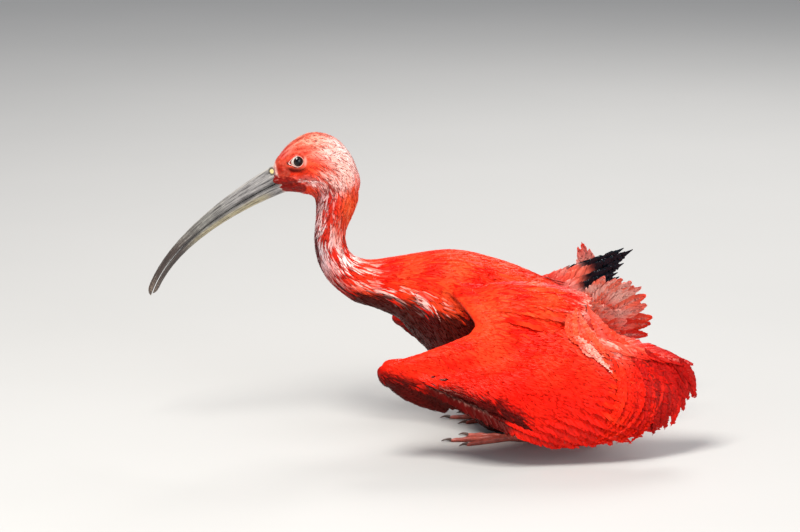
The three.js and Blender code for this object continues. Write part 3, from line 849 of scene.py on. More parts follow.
# Strips of bare skin round the bill's base, seen from the side: ends, half width and how creased each is.
BARE_STRIPS = [
    ((-198, 240), (-189, 237.5), 6.0, 0.25),
    ((-198, 232), (-186, 232), 4.5, 0.5),
    ((-196, 225), (-180, 224), 4.6, 1.0),
    ((-198, 218), (-173, 218.5), 5.2, 1.0),
]


@dataclass(frozen=True)
class EyeSizes:
    """The eye's place and the size of its ball, its lids and the bare skin round it."""

    x: float = -175.4
    y: float = 9.6
    z: float = 242.5
    radius: float = 6.2
    lid_y: float = 13.4
    bare: float = 8.6

    def offset(self, points: Array) -> Array:
        """Each place's offset from the eye's middle, seen from the side."""
        return points[:, [0, 2]] - np.array([self.x, self.z])


EYE = EyeSizes()


class Lie:
    """How the coat lies: how far along the bird's middle line, and which way feathers point there."""

    def __init__(self) -> None:
        corners = np.array([(x, 0.0, z) for x, z in SPINE])
        self.line = curve(corners, np.linspace(0, 1, 400))
        steps = np.linalg.norm(np.diff(self.line, axis=0), axis=1)
        self.distance = np.concatenate([[0], np.cumsum(steps)])
        ways = unit(np.gradient(self.line, axis=0))
        reach = np.exp(-(((self.distance[:, None] - self.distance[None]) / 10) ** 2))
        self.ways = unit(reach @ ways)

    def index(self, points: Array) -> Array:
        """Finds the nearest sample of the middle line for each place in millimetres, a part at a time."""
        flat = self.line[None, :, [0, 2]]
        parts = np.array_split(points[:, None, [0, 2]], 20)
        return np.concatenate([((part - flat) ** 2).sum(-1).argmin(1) for part in parts])

    def place(self, points: Array) -> Array:
        """Gives each place's distance along the middle line from the bill."""
        return self.distance[self.index(points)]

    def way(self, points: Array) -> Array:
        """Gives the coat's direction on the head, neck and trunk."""
        return self.ways[self.index(points)]


def bareness(points: Array, creased: bool = False) -> Array:
    """Tells how bare the skin is at each place.

    Args:
        points: places in millimetres.
        creased: whether to give how creased the bare skin is instead.
    Returns:
        1 on the face's naked skin and 0 where feathers grow, or less than 1 where naked skin is smoother.
    """
    flat = points[:, [0, 2]]
    shown = np.zeros(len(points))
    for start, end, half, rough in BARE_STRIPS:
        a, b = np.array(start, float), np.array(end, float)
        share = np.clip(((flat - a) @ (b - a)) / ((b - a) @ (b - a)), 0, 1)
        gap = np.linalg.norm(flat - a - share[:, None] * (b - a), axis=1) - half
        shown = np.maximum(shown, (1 - smoothstep(-0.6, 0.9, gap)) * (rough if creased else 1))
    ring = np.linalg.norm((flat - np.array([EYE.x - 1.0, EYE.z])) / np.array([1.12, 0.92]), axis=1) - EYE.bare
    return np.maximum(shown, (1 - smoothstep(-0.5, 0.7, ring)) * (0.1 if creased else 1))


@dataclass(frozen=True)
class Patch:
    """A soft-edged patch of colour, seen from the side: its middle and reach, its colour and its strength."""

    x: float
    z: float
    reach_x: float
    reach_z: float
    colour: str
    strength: float = 1.0
    mottled: str = ""

    def share(self, points: Array) -> Array:
        """How far each place lies in it, from 0 to 1."""
        away = ((points[:, 0] - self.x) / self.reach_x) ** 2 + ((points[:, 2] - self.z) / self.reach_z) ** 2
        return np.exp(-(away**1.5))


class Markings:
    """The bird's colours by place, the same for its skin and for its feathers."""

    scarlet = srgb("EC1003")
    orange = srgb("FB5426")
    crimson = srgb("A40806")
    # dark maroon of the painted shade under the breast and under the wing's wrist
    painted_shade = "330405"
    tick = "8A221C"
    fringe = "FBD9CE"
    patches = (
        Patch(-185, 251, 13, 10, "DE6A64", 0.9, "BE3226"),
        Patch(-166, 259, 21, 13, "EAA088", 1.0, "DA6650"),
        Patch(-172, 250, 9, 5, "E8553E", 0.8, "CC3220"),
        Patch(-139, 248, 18, 22, "F9DAD2", 1.0, "F3B9AB"),
        Patch(-137, 233, 12, 13, "FADCD4", 0.95, "F3BFB1"),
        Patch(-131, 207, 9, 17, "FA7244", 0.95, "EC5228"),
        Patch(-158, 238, 11, 7, "F4552F", 0.95, "E03A24"),
        # painted shade in the fold under the eye
        Patch(-178, 235, 10.5, 3.1, "5E0E0A", 1.0, "340505"),
        Patch(-166, 225.5, 13, 4.0, "F4D0CA", 0.95, "C4665E"),
        Patch(-148, 224, 9, 12, "EEB4A8", 0.85, "8E2620"),
        Patch(-158, 209, 7, 8, "A8301A", 0.85, "7A1A10"),
        Patch(-149, 231, 8, 7, "F1BDB0", 0.8, "D8604C"),
        Patch(-153, 212, 6, 11, "B98A8C", 0.85, "571319"),
        Patch(-158, 176, 9, 30, "CDB7BA", 1.0, "4A151B"),
        Patch(-149, 188, 7, 26, "E6CBC8", 0.95, "BE2A1C"),
        Patch(-139, 190, 7, 17, "E69080", 0.85, "D0402C"),
        Patch(-138, 163, 9, 17, "FBEAE2", 0.92, "CE200C"),
        Patch(-128, 147, 10, 8, "FADCCF", 0.85, "E22C10"),
        Patch(-150, 146, 8, 12, "D39A94", 0.85, "7A1410"),
        # the tail's own pink made lighter: painted light, standing in for light shining through its feathers
        Patch(92, 120, 32, 26, "FFC8B6", 0.9, "FF8468"),
        Patch(140, 52, 36, 44, "CC120C", 0.85, "9E0A08"),
        Patch(94, 66, 9, 60, "FC3C16", 0.7, "F02008"),
    )

    # Seen from the side, painted shade in dark maroon starts below these lines: under the breast, and under
    # the wing's wrist.
    breast_line = ((-150, 141), (-117, 131), (-60, 124), (-20, 121), (60, 118))
    wrist_line = ((-110, 86), (-73, 72), (-38, 68), (-11, 56), (5, 44), (14, 20))

    def __init__(self, lie: Lie) -> None:
        self.lie = lie

    def shaded(self, points: Array, strand: Array) -> tuple[Array, Array]:
        """Tells how far each place lies in the painted shade under the breast and the wing's wrist, and where
        the pale fringe above it is.

        Args:
            points: places in millimetres.
            strand: how far each place's wet strand reaches, in millimetres.
        Returns:
            The share of painted shade and the share of fringe.
        """
        x, y, z = points[:, 0], np.abs(points[:, 1]), points[:, 2]
        lines = self.breast_line, self.wrist_line
        under, below = (np.interp(x, *np.transpose(line)) - z + strand for line in lines)
        below = below + 0.8 * np.maximum(y - 112, 0)
        inside = (1 - smoothstep(50, 60, y)) * smoothstep(-152, -138, x) * (1 - smoothstep(0, 40, x))
        hand = smoothstep(-4, 10, below) * smoothstep(84, 96, y) * (1 - smoothstep(4, 18, x))
        fringe = np.exp(-(((under + 1) / 3.5) ** 2))
        fringe = fringe * smoothstep(-130, -116, x) * (1 - smoothstep(-66, -54, x))
        return np.maximum(smoothstep(-1, 4, under) * inside, hand), fringe

    def strands(self, points: Array) -> Array:
        """A field that changes slowly along the coat and fast across it, as wet strands do.

        Args:
            points: places in millimetres.
        Returns:
            A value between -1 and 1 for each place.
        """
        nearest = self.lie.index(points)
        away = points - self.lie.line[nearest]
        offset = away[:, 0] * -self.lie.ways[nearest, 2] + away[:, 2] * self.lie.ways[nearest, 0]
        return ripple(np.stack([self.lie.distance[nearest] * 0.16, points[:, 1], offset], axis=1), 4.2, 61)

    def tint(self, points: Array, draws: Array | None = None) -> Array:
        """Reads the colours.

        Args:
            points: places in millimetres.
            draws: one number between 0 and 1 for each feather, or nothing for the skin.
        Returns:
            One colour for each place, in linear light.
        """
        own = np.full(len(points), 0.5) if draws is None else draws
        strand = self.strands(points)
        lengthwise = 0.32 * strand
        warm = np.clip(0.5 + 0.45 * ripple(points, 46, 3) + (own - 0.5) * 0.5 + lengthwise, 0, 1)[:, None]
        deep = np.clip(0.3 * ripple(points, 30, 4) + (0.5 - own) * 0.3 - 0.6 * lengthwise, 0, 1)[:, None]
        # higher up the coat turns more orange: a painted sheen of light on the top of the back and shoulders,
        # over its own warm tone
        warm = warm * mix(0.06, 0.8, smoothstep(60, 135, points[:, 2]))[:, None]
        colours = mix(mix(self.scarlet, self.orange, warm), self.crimson, deep * 0.5)
        for number, patch in enumerate(self.patches):
            blotch = 0.5 + 0.75 * (own - 0.5) + 1.3 * lengthwise + 0.12 * ripple(points, 9, 20 + number)
            spot = mix(srgb(patch.mottled), srgb(patch.colour), smoothstep(0.36, 0.6, blotch)[:, None])
            colours = mix(colours, spot, (patch.share(points) * patch.strength)[:, None])
        if draws is not None:
            ticked = ((own * 37) % 1 < 0.13) * (1 - smoothstep(-136, -118, points[:, 0]))
            colours = dyed(colours, self.tick, 0.75 * ticked)
        # painted shade in dark maroon under the breast and the wrist, then the pale fringe tips over it
        painted_shade, fringe = self.shaded(points, 2.5 * strand + 5 * (own - 0.5))
        return dyed(dyed(colours, self.painted_shade, 0.95 * painted_shade), self.fringe, 0.9 * fringe * (own > 0.5))

    def along(self, path: Route, places: Array, own: float, flip: Array | float = 1) -> Array:
        """Reads the colours along one feather.

        Args:
            path: the feather's middle line.
            places: places between its root and its tip.
            own: the feather's own number between 0 and 1.
            flip: puts the line on the bird's other side.
        Returns:
            One colour for each place.
        """
        return self.tint(path(places) * flip, np.full(len(places), own))


@dataclass(frozen=True)
class Feather:
    """The build of one kind of large feather, in millimetres and degrees.

    Its span is the stretch that it takes up of the path it lies along, both tells whether wet strands lie
    on its two sides, and sunk is how far its row sinks towards the row's outer end.
    """

    width: float
    tilt: float
    step: float
    lift: float
    shape: tuple[Pair, ...]
    stations: int = 20
    lead: float = 0.5
    ragged: int = 2
    span: Pair = (0.0, 1.0)
    strand: float = 5.0
    both: bool = False
    thickness: float = 0.4
    camber: float = 0.06
    sunk: float = 0.0

    def half_at(self, places: Array, scale: float) -> Array:
        """Half its width at places between its root and its tip, widened by a scale."""
        return self.width * scale * profile(self.shape, places) / 2

    def edge(self, sign: Array) -> Array:
        """How much of its width lies ahead of the shaft, or behind it where the sign is below 0."""
        return 2 * np.where(sign > 0, self.lead, 1 - self.lead)


FLIGHT_SHAPE = ((0, 0.34), (0.3, 0.86), (0.55, 1), (0.72, 0.9), (0.85, 0.66), (0.94, 0.36), (1, 0.04))
COVERT_SHAPE = ((0, 0.5), (0.45, 1), (0.7, 0.9), (0.86, 0.6), (0.95, 0.3), (1, 0.04))
WET_SHAPE = ((0, 0.4), (0.3, 0.9), (0.55, 1), (0.75, 0.78), (0.9, 0.42), (1, 0.03))
LOCK_SHAPE = ((0, 0.04), (0.12, 0.5), (0.35, 0.95), (0.6, 1), (0.8, 0.7), (0.92, 0.36), (1, 0.03))
COLUMNS = np.array([-1, -0.7, -0.35, -0.045, 0, 0.045, 0.35, 0.7, 1])

SECONDARY = Feather(26, 7, 0.36, 0, FLIGHT_SHAPE, 26, 0.42, 4)
PRIMARY = Feather(20, 8, 0.9, -4, FLIGHT_SHAPE, 28, 0.36, 4)
GREATER_COVERT = Feather(27, 6, 0.3, 4, COVERT_SHAPE, 20, 0.46, 3, (0.02, 0.48))
PRIMARY_COVERT = Feather(13, 8, 0.5, 0.5, COVERT_SHAPE, 16, 0.42, 2, (0.0, 0.33))
SCAPULAR = Feather(20, 7, 0.35, 3, COVERT_SHAPE, 20, 0.5, 3, sunk=9)
LOCK = Feather(11, 4, 0, 0, LOCK_SHAPE, 22, 0.5, 3, strand=4.0)


@dataclass(frozen=True)
class Pad:
    """A pad of small feathers over a row of large ones.

    Its reach along them is given at even steps along the row. Top and under are its faces' heights: first
    over the row itself at its roots, then at the pad's end over the row that it runs out on. Sag turns its
    feathers down.
    """

    kind: Feather
    onto: Feather
    reach: tuple[float, ...]
    top: Pair
    under: Pair
    sag: float = 0.0

    def reach_at(self, u: Array) -> Array:
        """How far it goes down the feathers at a place along the row."""
        return np.interp(u, np.linspace(0, 1, len(self.reach)), self.reach)


COVERT_PAD = Pad(GREATER_COVERT, SECONDARY, (0.93, 0.93, 0.95, 0.97, 0.98), (2.6, 2.4), (-4.2, -2.0), 0.5)
PADS = (
    COVERT_PAD,
    Pad(SCAPULAR, SCAPULAR, (0.93, 0.93), (3.8, 2.4), (-9.0, -2.6), 0.15),
    Pad(PRIMARY_COVERT, PRIMARY, (0.8, 0.8), (3.4, 3.4), (-4.0, -1.6), 0.2),
)


@dataclass
class Web:
    """One large feather in the making: what its web and its wet strands are laid by."""

    path: Route
    kind: Feather
    tint: Dye
    scale: float
    length: float
    places: Array
    lead: Array
    out: Array


class Webs:
    """Large feathers with a shaft, a full web and split edges, gathered into one piece."""

    barb = 0.9  # how far the web's edge lies ahead of its shaft, as a share of its half width
    lowest = 0.4  # height of the lowest points above the floor
    strand_stations = np.array([0.0, 0.3, 0.6, 0.85, 1.0])
    strand_taper = np.array([0.45, 1.0, 0.95, 0.6, 0.06])

    def __init__(self, draw: Random) -> None:
        self.draw = draw
        self.points: list[Array] = []
        self.tints: list[Array] = []
        self.vane: list[Array] = []
        self.count = 0
        self.quads: list[Array] = []
        self.triangles: list[Array] = [np.zeros((0, 3), int)]
        self.codes: list[Array] = []
        self.cells: list[Array] = []
        self.total = 0

    def add(self, path: Route, normal: Array, kind: Feather, tint: Dye, scale: float = 1.0) -> None:
        """Adds one feather.

        Args:
            path: gives its middle line for places between its root and its tip.
            normal: the side that shows.
            kind: its build.
            tint: gives colours for places along and across the web.
            scale: widens or narrows it.
        """
        rows = kind.stations
        t = np.linspace(0, 1, rows) ** 0.9
        ends = path(np.array([0.0, 1.0]))
        length = np.linalg.norm(ends[1] - ends[0])
        half = kind.half_at(t, scale)
        wide = half[:, None] * kind.edge(COLUMNS)[None] * COLUMNS[None]
        wide = wide * self.notches(rows, kind)
        ahead = self.barb * np.abs(wide) / length * (1 - t)[:, None] * smoothstep(0, 0.15, t)[:, None]
        places = np.clip(t[:, None] + ahead, 0, 1)
        middle = path(places)
        tangent = unit(path(np.minimum(t + 0.02, 1)) - path(np.maximum(t - 0.02, 0)))
        side = unit(np.cross(tangent, normal))
        tilt = math.radians(-kind.tilt)
        lead = side * math.cos(tilt) + np.cross(tangent, side) * math.sin(tilt)
        out = np.cross(lead, tangent)
        ridge = 0.34 * (1 - 0.75 * t)[:, None] * (np.abs(COLUMNS) < 0.01)
        waves = self.draw.normal(0, 0.32, (rows, 2))
        waves = (waves + np.roll(waves, 1, 0)) / 2 * smoothstep(0.15, 0.6, t)[:, None]
        sway = np.where(COLUMNS[None] < 0, waves[:, :1], waves[:, 1:]) * COLUMNS[None] ** 2
        rise = ridge + sway - kind.camber * half[:, None] * COLUMNS[None] ** 2
        top = middle + lead[:, None] * wide[..., None] + out[:, None] * rise[..., None]
        thick = kind.thickness * (1 - 0.55 * np.abs(COLUMNS[None])) * (1 - 0.4 * t[:, None])
        under = top - out[:, None] * thick[..., None]
        across = np.broadcast_to(COLUMNS[None], places.shape)
        colours = tint(places.ravel(), across.ravel())
        self.points += [top.reshape(-1, 3), under.reshape(-1, 3)]
        # the underside is darker: painted shade, less where strands lie on both sides
        self.tints += [colours, colours * (0.95 if kind.both else 0.8)]
        self.vane += [self.vane_places(wide, places * length, 0)] * 2
        self.cells += [self.cell(across, places, 0.0), self.cell(across, places, 0.33)]
        self.join_faces(rows, len(COLUMNS))
        web = Web(path, kind, tint, scale, length, t, lead, out)
        for face in (1, -1) if kind.both else (1,):
            self.lay_strands(web, face)
        self.count += 1

    def vane_places(self, across: Array, along: Array, shift: float) -> Array:
        """Places points on the map along and across the feather, 1 for each 100 mm."""
        x, y = 0.5 + across.ravel() * MM * 10, along.ravel() * MM * 10 + self.count + shift
        return np.stack([x, y], axis=1)

    def cell(self, across: Array, along: Array, shift: float) -> Array:
        """Places points of one feather inside its cell of the baking map."""
        flat = np.stack([(across.ravel() + 1) * 0.145 + 0.01 + shift, along.ravel() * 0.94 + 0.02], axis=1)
        return np.column_stack([flat, np.full(len(flat), self.count)])

    def lay_strands(self, web: Web, face: int) -> None:
        """Lays wet strands of barbs slantwise over the web, with their tips just past its edge.

        Args:
            web: the feather.
            face: 1 for the web's upper side, -1 for its underside.
        """
        kind, length, steps = web.kind, web.length, self.strand_stations
        each = max(5, int(length / kind.strand))
        sign = np.repeat([1.0, -1.0], each)
        start = np.tile((np.arange(each) + 0.5) / each, 2) + self.draw.normal(0, 0.3 / each, 2 * each)
        start = 0.06 + 0.9 * np.clip(start, 0, 1)
        edge = kind.edge(sign)
        reach = kind.half_at(start, web.scale) * edge * self.draw.uniform(1.1, 1.9, len(start)) / length
        past = self.draw.uniform(0.85, 1.12, len(start))
        along = np.clip(start[:, None] + np.minimum(reach, 1.03 - start)[:, None] * steps, 0, 1.04)
        across = sign[:, None] * (0.04 + past[:, None] * steps**0.9)
        wide = kind.half_at(np.minimum(along, 1), web.scale) * edge[:, None] * across
        lead, out = (
            np.stack([np.interp(along, web.places, way[:, k]) for k in range(3)], -1)
            for way in (web.lead, web.out)
        )
        height = 0.16 + 0.14 * steps + self.draw.uniform(-0.05, 0.4, len(start))[:, None] * steps**2
        rise = height * face - kind.camber * np.abs(wide) * np.abs(across) - kind.thickness * (face < 0)
        line = web.path(np.minimum(along, 1)) + lead * wide[..., None] + out * rise[..., None]
        tip_push = np.maximum(along - 1, 0) * length
        line = line + unit(np.gradient(line, axis=1)) * tip_push[..., None]
        thick = self.draw.uniform(0.7, 1.3, len(start))[:, None] * kind.strand * 0.36
        half = thick * self.strand_taper * web.scale
        points, quads, triangles = prisms(line, out * face, half, half * 0.16 + 0.05, half * 0.1)
        self.points.append(points.reshape(-1, 3))
        self.quads.append(quads + self.total)
        self.triangles.append(triangles + self.total)
        light = self.draw.uniform(0.82, 1.12, len(start))[:, None, None, None]
        colours = web.tint(np.minimum(along, 1).ravel(), across.ravel()).reshape(*along.shape, 1, 3) * light
        self.tints.append(np.clip(np.broadcast_to(colours, points.shape), 0, 1).reshape(-1, 3))
        far = np.broadcast_to(along[..., None], (*along.shape, 3))
        self.vane.append(self.vane_places(wide[..., None] + half[..., None] * [0, 1, -1], far * length, 0.5))
        flat_across = across[..., None] + np.array([0, 0.04, -0.04])
        self.cells.append(self.cell(np.clip(flat_across, -1, 1), far, 0.66))
        self.codes.append(np.tile([0, 3, 4], along.size))
        self.total += points.size // 3

    def notches(self, rows: int, kind: Feather) -> Array:
        """Draws where the web is split, as a share of its width for each station and column."""
        kept = np.ones((rows, len(COLUMNS)))
        for columns in (COLUMNS < -0.1, COLUMNS > 0.1):
            for row in self.draw.integers(int(rows * 0.35), rows - 1, kind.ragged):
                kept[row, columns] *= 1 - self.draw.uniform(0.12, 0.42) * np.abs(COLUMNS[columns])
        return kept * (1 + self.draw.normal(0, 0.015, (rows, 1)))

    def join_faces(self, rows: int, columns: int) -> None:
        """Adds the faces of a feather's two sides and its rim.

        Args:
            rows: the web's stations.
            columns: its points across.
        """
        size = rows * columns
        top = np.arange(size).reshape(rows, columns) + self.total
        upper = np.stack([top[:-1, :-1], top[:-1, 1:], top[1:, 1:], top[1:, :-1]], -1).reshape(-1, 4)
        rim = np.concatenate([top[0, :], top[1:, -1], top[-1, -2::-1], top[-2:0:-1, 0]])
        walls = np.stack([rim, rim + size, np.roll(rim, -1) + size, np.roll(rim, -1)], -1)
        self.quads += [upper, upper[:, [0, 3, 2, 1]] + size, walls]
        code = np.zeros(size, int)
        code[rim - self.total] = 1
        self.codes += [code, code * 2]
        self.total += 2 * size

    def finish(self, name: str, material: Material, mirrored: bool = False) -> Thing:
        """Makes the piece.

        Args:
            name: the piece's name.
            material: its finish.
            mirrored: puts it on the bird's right side.
        Returns:
            The finished piece.
        """
        gathered = self.points, self.quads, self.triangles
        points, quads, triangles = (np.concatenate(rows) for rows in gathered)
        points[:, 2] = np.maximum(points[:, 2], self.lowest)
        if mirrored:
            points, quads, triangles = points * [1, -1, 1], quads[:, ::-1], triangles[:, ::-1]
        thing = mesh_of(name, points, quads, triangles, np.concatenate(self.codes))
        grid = math.ceil(math.sqrt(self.count))
        cells = np.concatenate(self.cells)
        corner = np.stack([cells[:, 2] % grid, cells[:, 2] // grid], axis=1)
        set_map(thing, UV_BAKE, (corner + cells[:, :2]) / grid)
        set_map(thing, UV_VANE, np.concatenate(self.vane))
        set_tint(thing, np.concatenate(self.tints))
        thing.data.materials.append(material)
        LOG.info("%s: %d feathers, %d faces", name, self.count, len(quads))
        return thing


def arched(
    root: Array, tip: Array, bow: Array, normal: Array, lift: Array = 0.0, ramp: float = 1e-3
) -> Route:
    """Makes a path that swells by a bow and is lifted off its root, or one for each root and tip.

    Args:
        root: where it starts.
        tip: where it ends.
        bow: how far its middle swells, as shares of its length.
        normal: the way it is lifted.
        lift: how far.
        ramp: share within which the lift is reached.
    Returns:
        A function from places between 0 and 1 to places in space.
    """
    length = np.linalg.norm(tip - root, axis=-1, keepdims=True)

    def path(t: Array) -> Array:
        """Follows it."""
        s = np.asarray(t, float)[..., None]
        raised = normal * np.asarray(lift)[..., None] * np.minimum(1, s / ramp)
        return root + (tip - root) * s + bow * 4 * s * (1 - s) * length + raised

    return path


@dataclass(frozen=True)
class Plate:
    """A plate between two edges, such as a wing's arm or hand, that thins along it."""

    leading: list[list[float]]
    trailing: list[list[float]]
    thick: Pair = (24.0, 12.0)
    thinning: float = 1.4

    def at(self, u: Array, v: Array, lift: Array = 0.0) -> Array:
        """A place on it: u along it, v from its leading to its trailing edge.

        Args:
            u: places along it.
            v: places from its leading to its trailing edge.
            lift: 1 on its upper side, 0 in its middle and -1 underneath.
        Returns:
            The places in millimetres.
        """
        u, v, lift = np.broadcast_arrays(np.asarray(u, float), v, lift)
        edge, rear = curve(self.leading, u), curve(self.trailing, u)
        thick = mix(*self.thick, np.minimum(1, u * self.thinning))
        return edge + (rear - edge) * v[..., None] + self.normal(u) * (lift * thick / 2)[..., None]

    def normal(self, u: Array) -> Array:
        """The way its upper side faces.

        Args:
            u: places along it.
        Returns:
            A unit vector for each.
        """
        u = np.asarray(u, float)
        after, before = np.minimum(u + 0.05, 1), np.maximum(u - 0.05, 0)
        front, rear = self.leading, self.trailing
        span = curve(front, after) - curve(front, before) + curve(rear, after) - curve(rear, before)
        return unit(np.cross(span, curve(rear, u) - curve(front, u)))


@dataclass(frozen=True)
class WingPose:
    """One wing's pose, written as for a left wing: its edges, its wrist, and where its feathers end."""

    arm: Plate
    hand: Plate
    wrist: tuple[list[float], list[float]]
    secondary_roots: Triple
    secondary_tips: list[list[float]]
    primary_tips: list[list[float]]
    scapular_tips: list[list[float]]
    secondary_bow: Triple
    primary_bow: Triple
    scapular_swell: float
    narrowing: float
    stack: float
    ramp: float
    black_from: float
    padded: float

    def secondary(self, u: Array, lift: Array) -> tuple[Route, Array]:
        """The path and the upper side of a secondary, or of a covert that lies along one.

        Args:
            u: its place along the row.
            lift: how far it lies over the arm's middle.
        Returns:
            Its path, and the way its upper side faces.
        """
        low, high, share = self.secondary_roots
        place = low + (high - low) * u
        normal, bow = self.arm.normal(place), np.array(self.secondary_bow)
        root, tip = self.arm.at(place, share), curve(self.secondary_tips, u)
        return arched(root, tip, bow, normal, lift, self.ramp), normal

    def primary(self, u: Array, lift: Array) -> tuple[Route, Array]:
        """The path and the upper side of a primary, or of a covert that lies along one.

        Args:
            u: its place along the row.
            lift: how far it lies over the hand's middle.
        Returns:
            Its path, and the way its upper side faces.
        """
        normal = self.hand.normal(0.5)
        root, bow = self.hand.at(0.06 + 0.88 * u, 0.62), np.array(self.primary_bow)
        return arched(root, curve(self.primary_tips, u), bow, normal, lift), normal

    def scapular(self, u: Array, lift: Array) -> tuple[Route, Array]:
        """The path and the upper side of a scapular.

        Args:
            u: its place along the row.
            lift: how far it lies over the arm.
        Returns:
            Its path, and the way its upper side faces.
        """
        normal = self.arm.normal(0.1 + 0.32 * u)
        root = self.arm.at(0.06 + 0.36 * u, 0.3 + 0.04 * u, 0.7)
        return arched(root, curve(self.scapular_tips, u), normal * self.scapular_swell, normal, lift), normal


LEFT_WING = WingPose(
    arm=Plate(
        [[-50, -38, 139], [-33, -66, 125], [-25, -84, 111], [-58, -102, 100], [-97, -110, 88]],
        [[30, -42, 120], [38, -74, 102], [30, -97, 82], [-10, -109, 72], [-83, -112, 70]],
    ),
    hand=Plate(
        [[-104, -110, 80], [-96, -110, 64], [-76, -108, 50], [-48, -105, 41]],
        [[-84, -110, 82], [-78, -109, 74], [-62, -107, 64], [-42, -104, 54]], (9.0, 6.0), 1.0,
    ),
    wrist=([-92, -110, 78.5], [15.5, 8.6, 13.5]),
    secondary_roots=(0.26, 0.97, 0.72),
    secondary_tips=[[163, -66, 72], [160, -77, 47], [136, -92, 25], [98, -106, 15], [52, -115, 12.5]],
    primary_tips=[[84, -90, 15], [118, -80, 16], [144, -68, 22], [154, -60, 33]],
    scapular_tips=[[86, -50, 124], [72, -74, 110], [52, -98, 92]],
    secondary_bow=(0.02, -0.13, 0.04),
    primary_bow=(0, -0.03, -0.02),
    scapular_swell=0.06,
    narrowing=1,
    stack=0,
    ramp=0.001,
    black_from=0.6,
    padded=1,
)
RIGHT_WING = WingPose(
    arm=Plate(
        [[-50, -38, 139], [-36, -64, 124], [-22, -86, 100], [-52, -103, 90], [-88, -112, 84]],
        [[26, -42, 120], [42, -68, 104], [44, -90, 82], [0, -106, 80], [-68, -113, 80]],
    ),
    hand=Plate(
        [[-92, -106, 76], [-82, -102, 64], [-66, -98, 55], [-42, -94, 49]],
        [[-72, -105, 84], [-62, -100, 79], [-50, -96, 74], [-34, -92, 68]], (9.0, 6.0), 1.0,
    ),
    wrist=([-82, -109, 78], [14, 8, 11]),
    secondary_roots=(0.5, 0.95, 0.88),
    secondary_tips=[[66, -82, 151], [81, -92, 143], [88, -98, 134], [92, -103, 124], [90, -109, 113]],
    primary_tips=[[84, -74, 130], [104, -66, 149], [115, -60, 153.5], [122.5, -58, 145], [117, -60, 131]],
    scapular_tips=[[68, -48, 113], [62, -66, 107], [56, -84, 98]],
    secondary_bow=(0.3, -0.04, -0.12),
    primary_bow=(0, -0.03, -0.07),
    scapular_swell=0,
    narrowing=0.62,
    stack=1,
    ramp=0.2,
    black_from=0.2,
    padded=0.48,
)


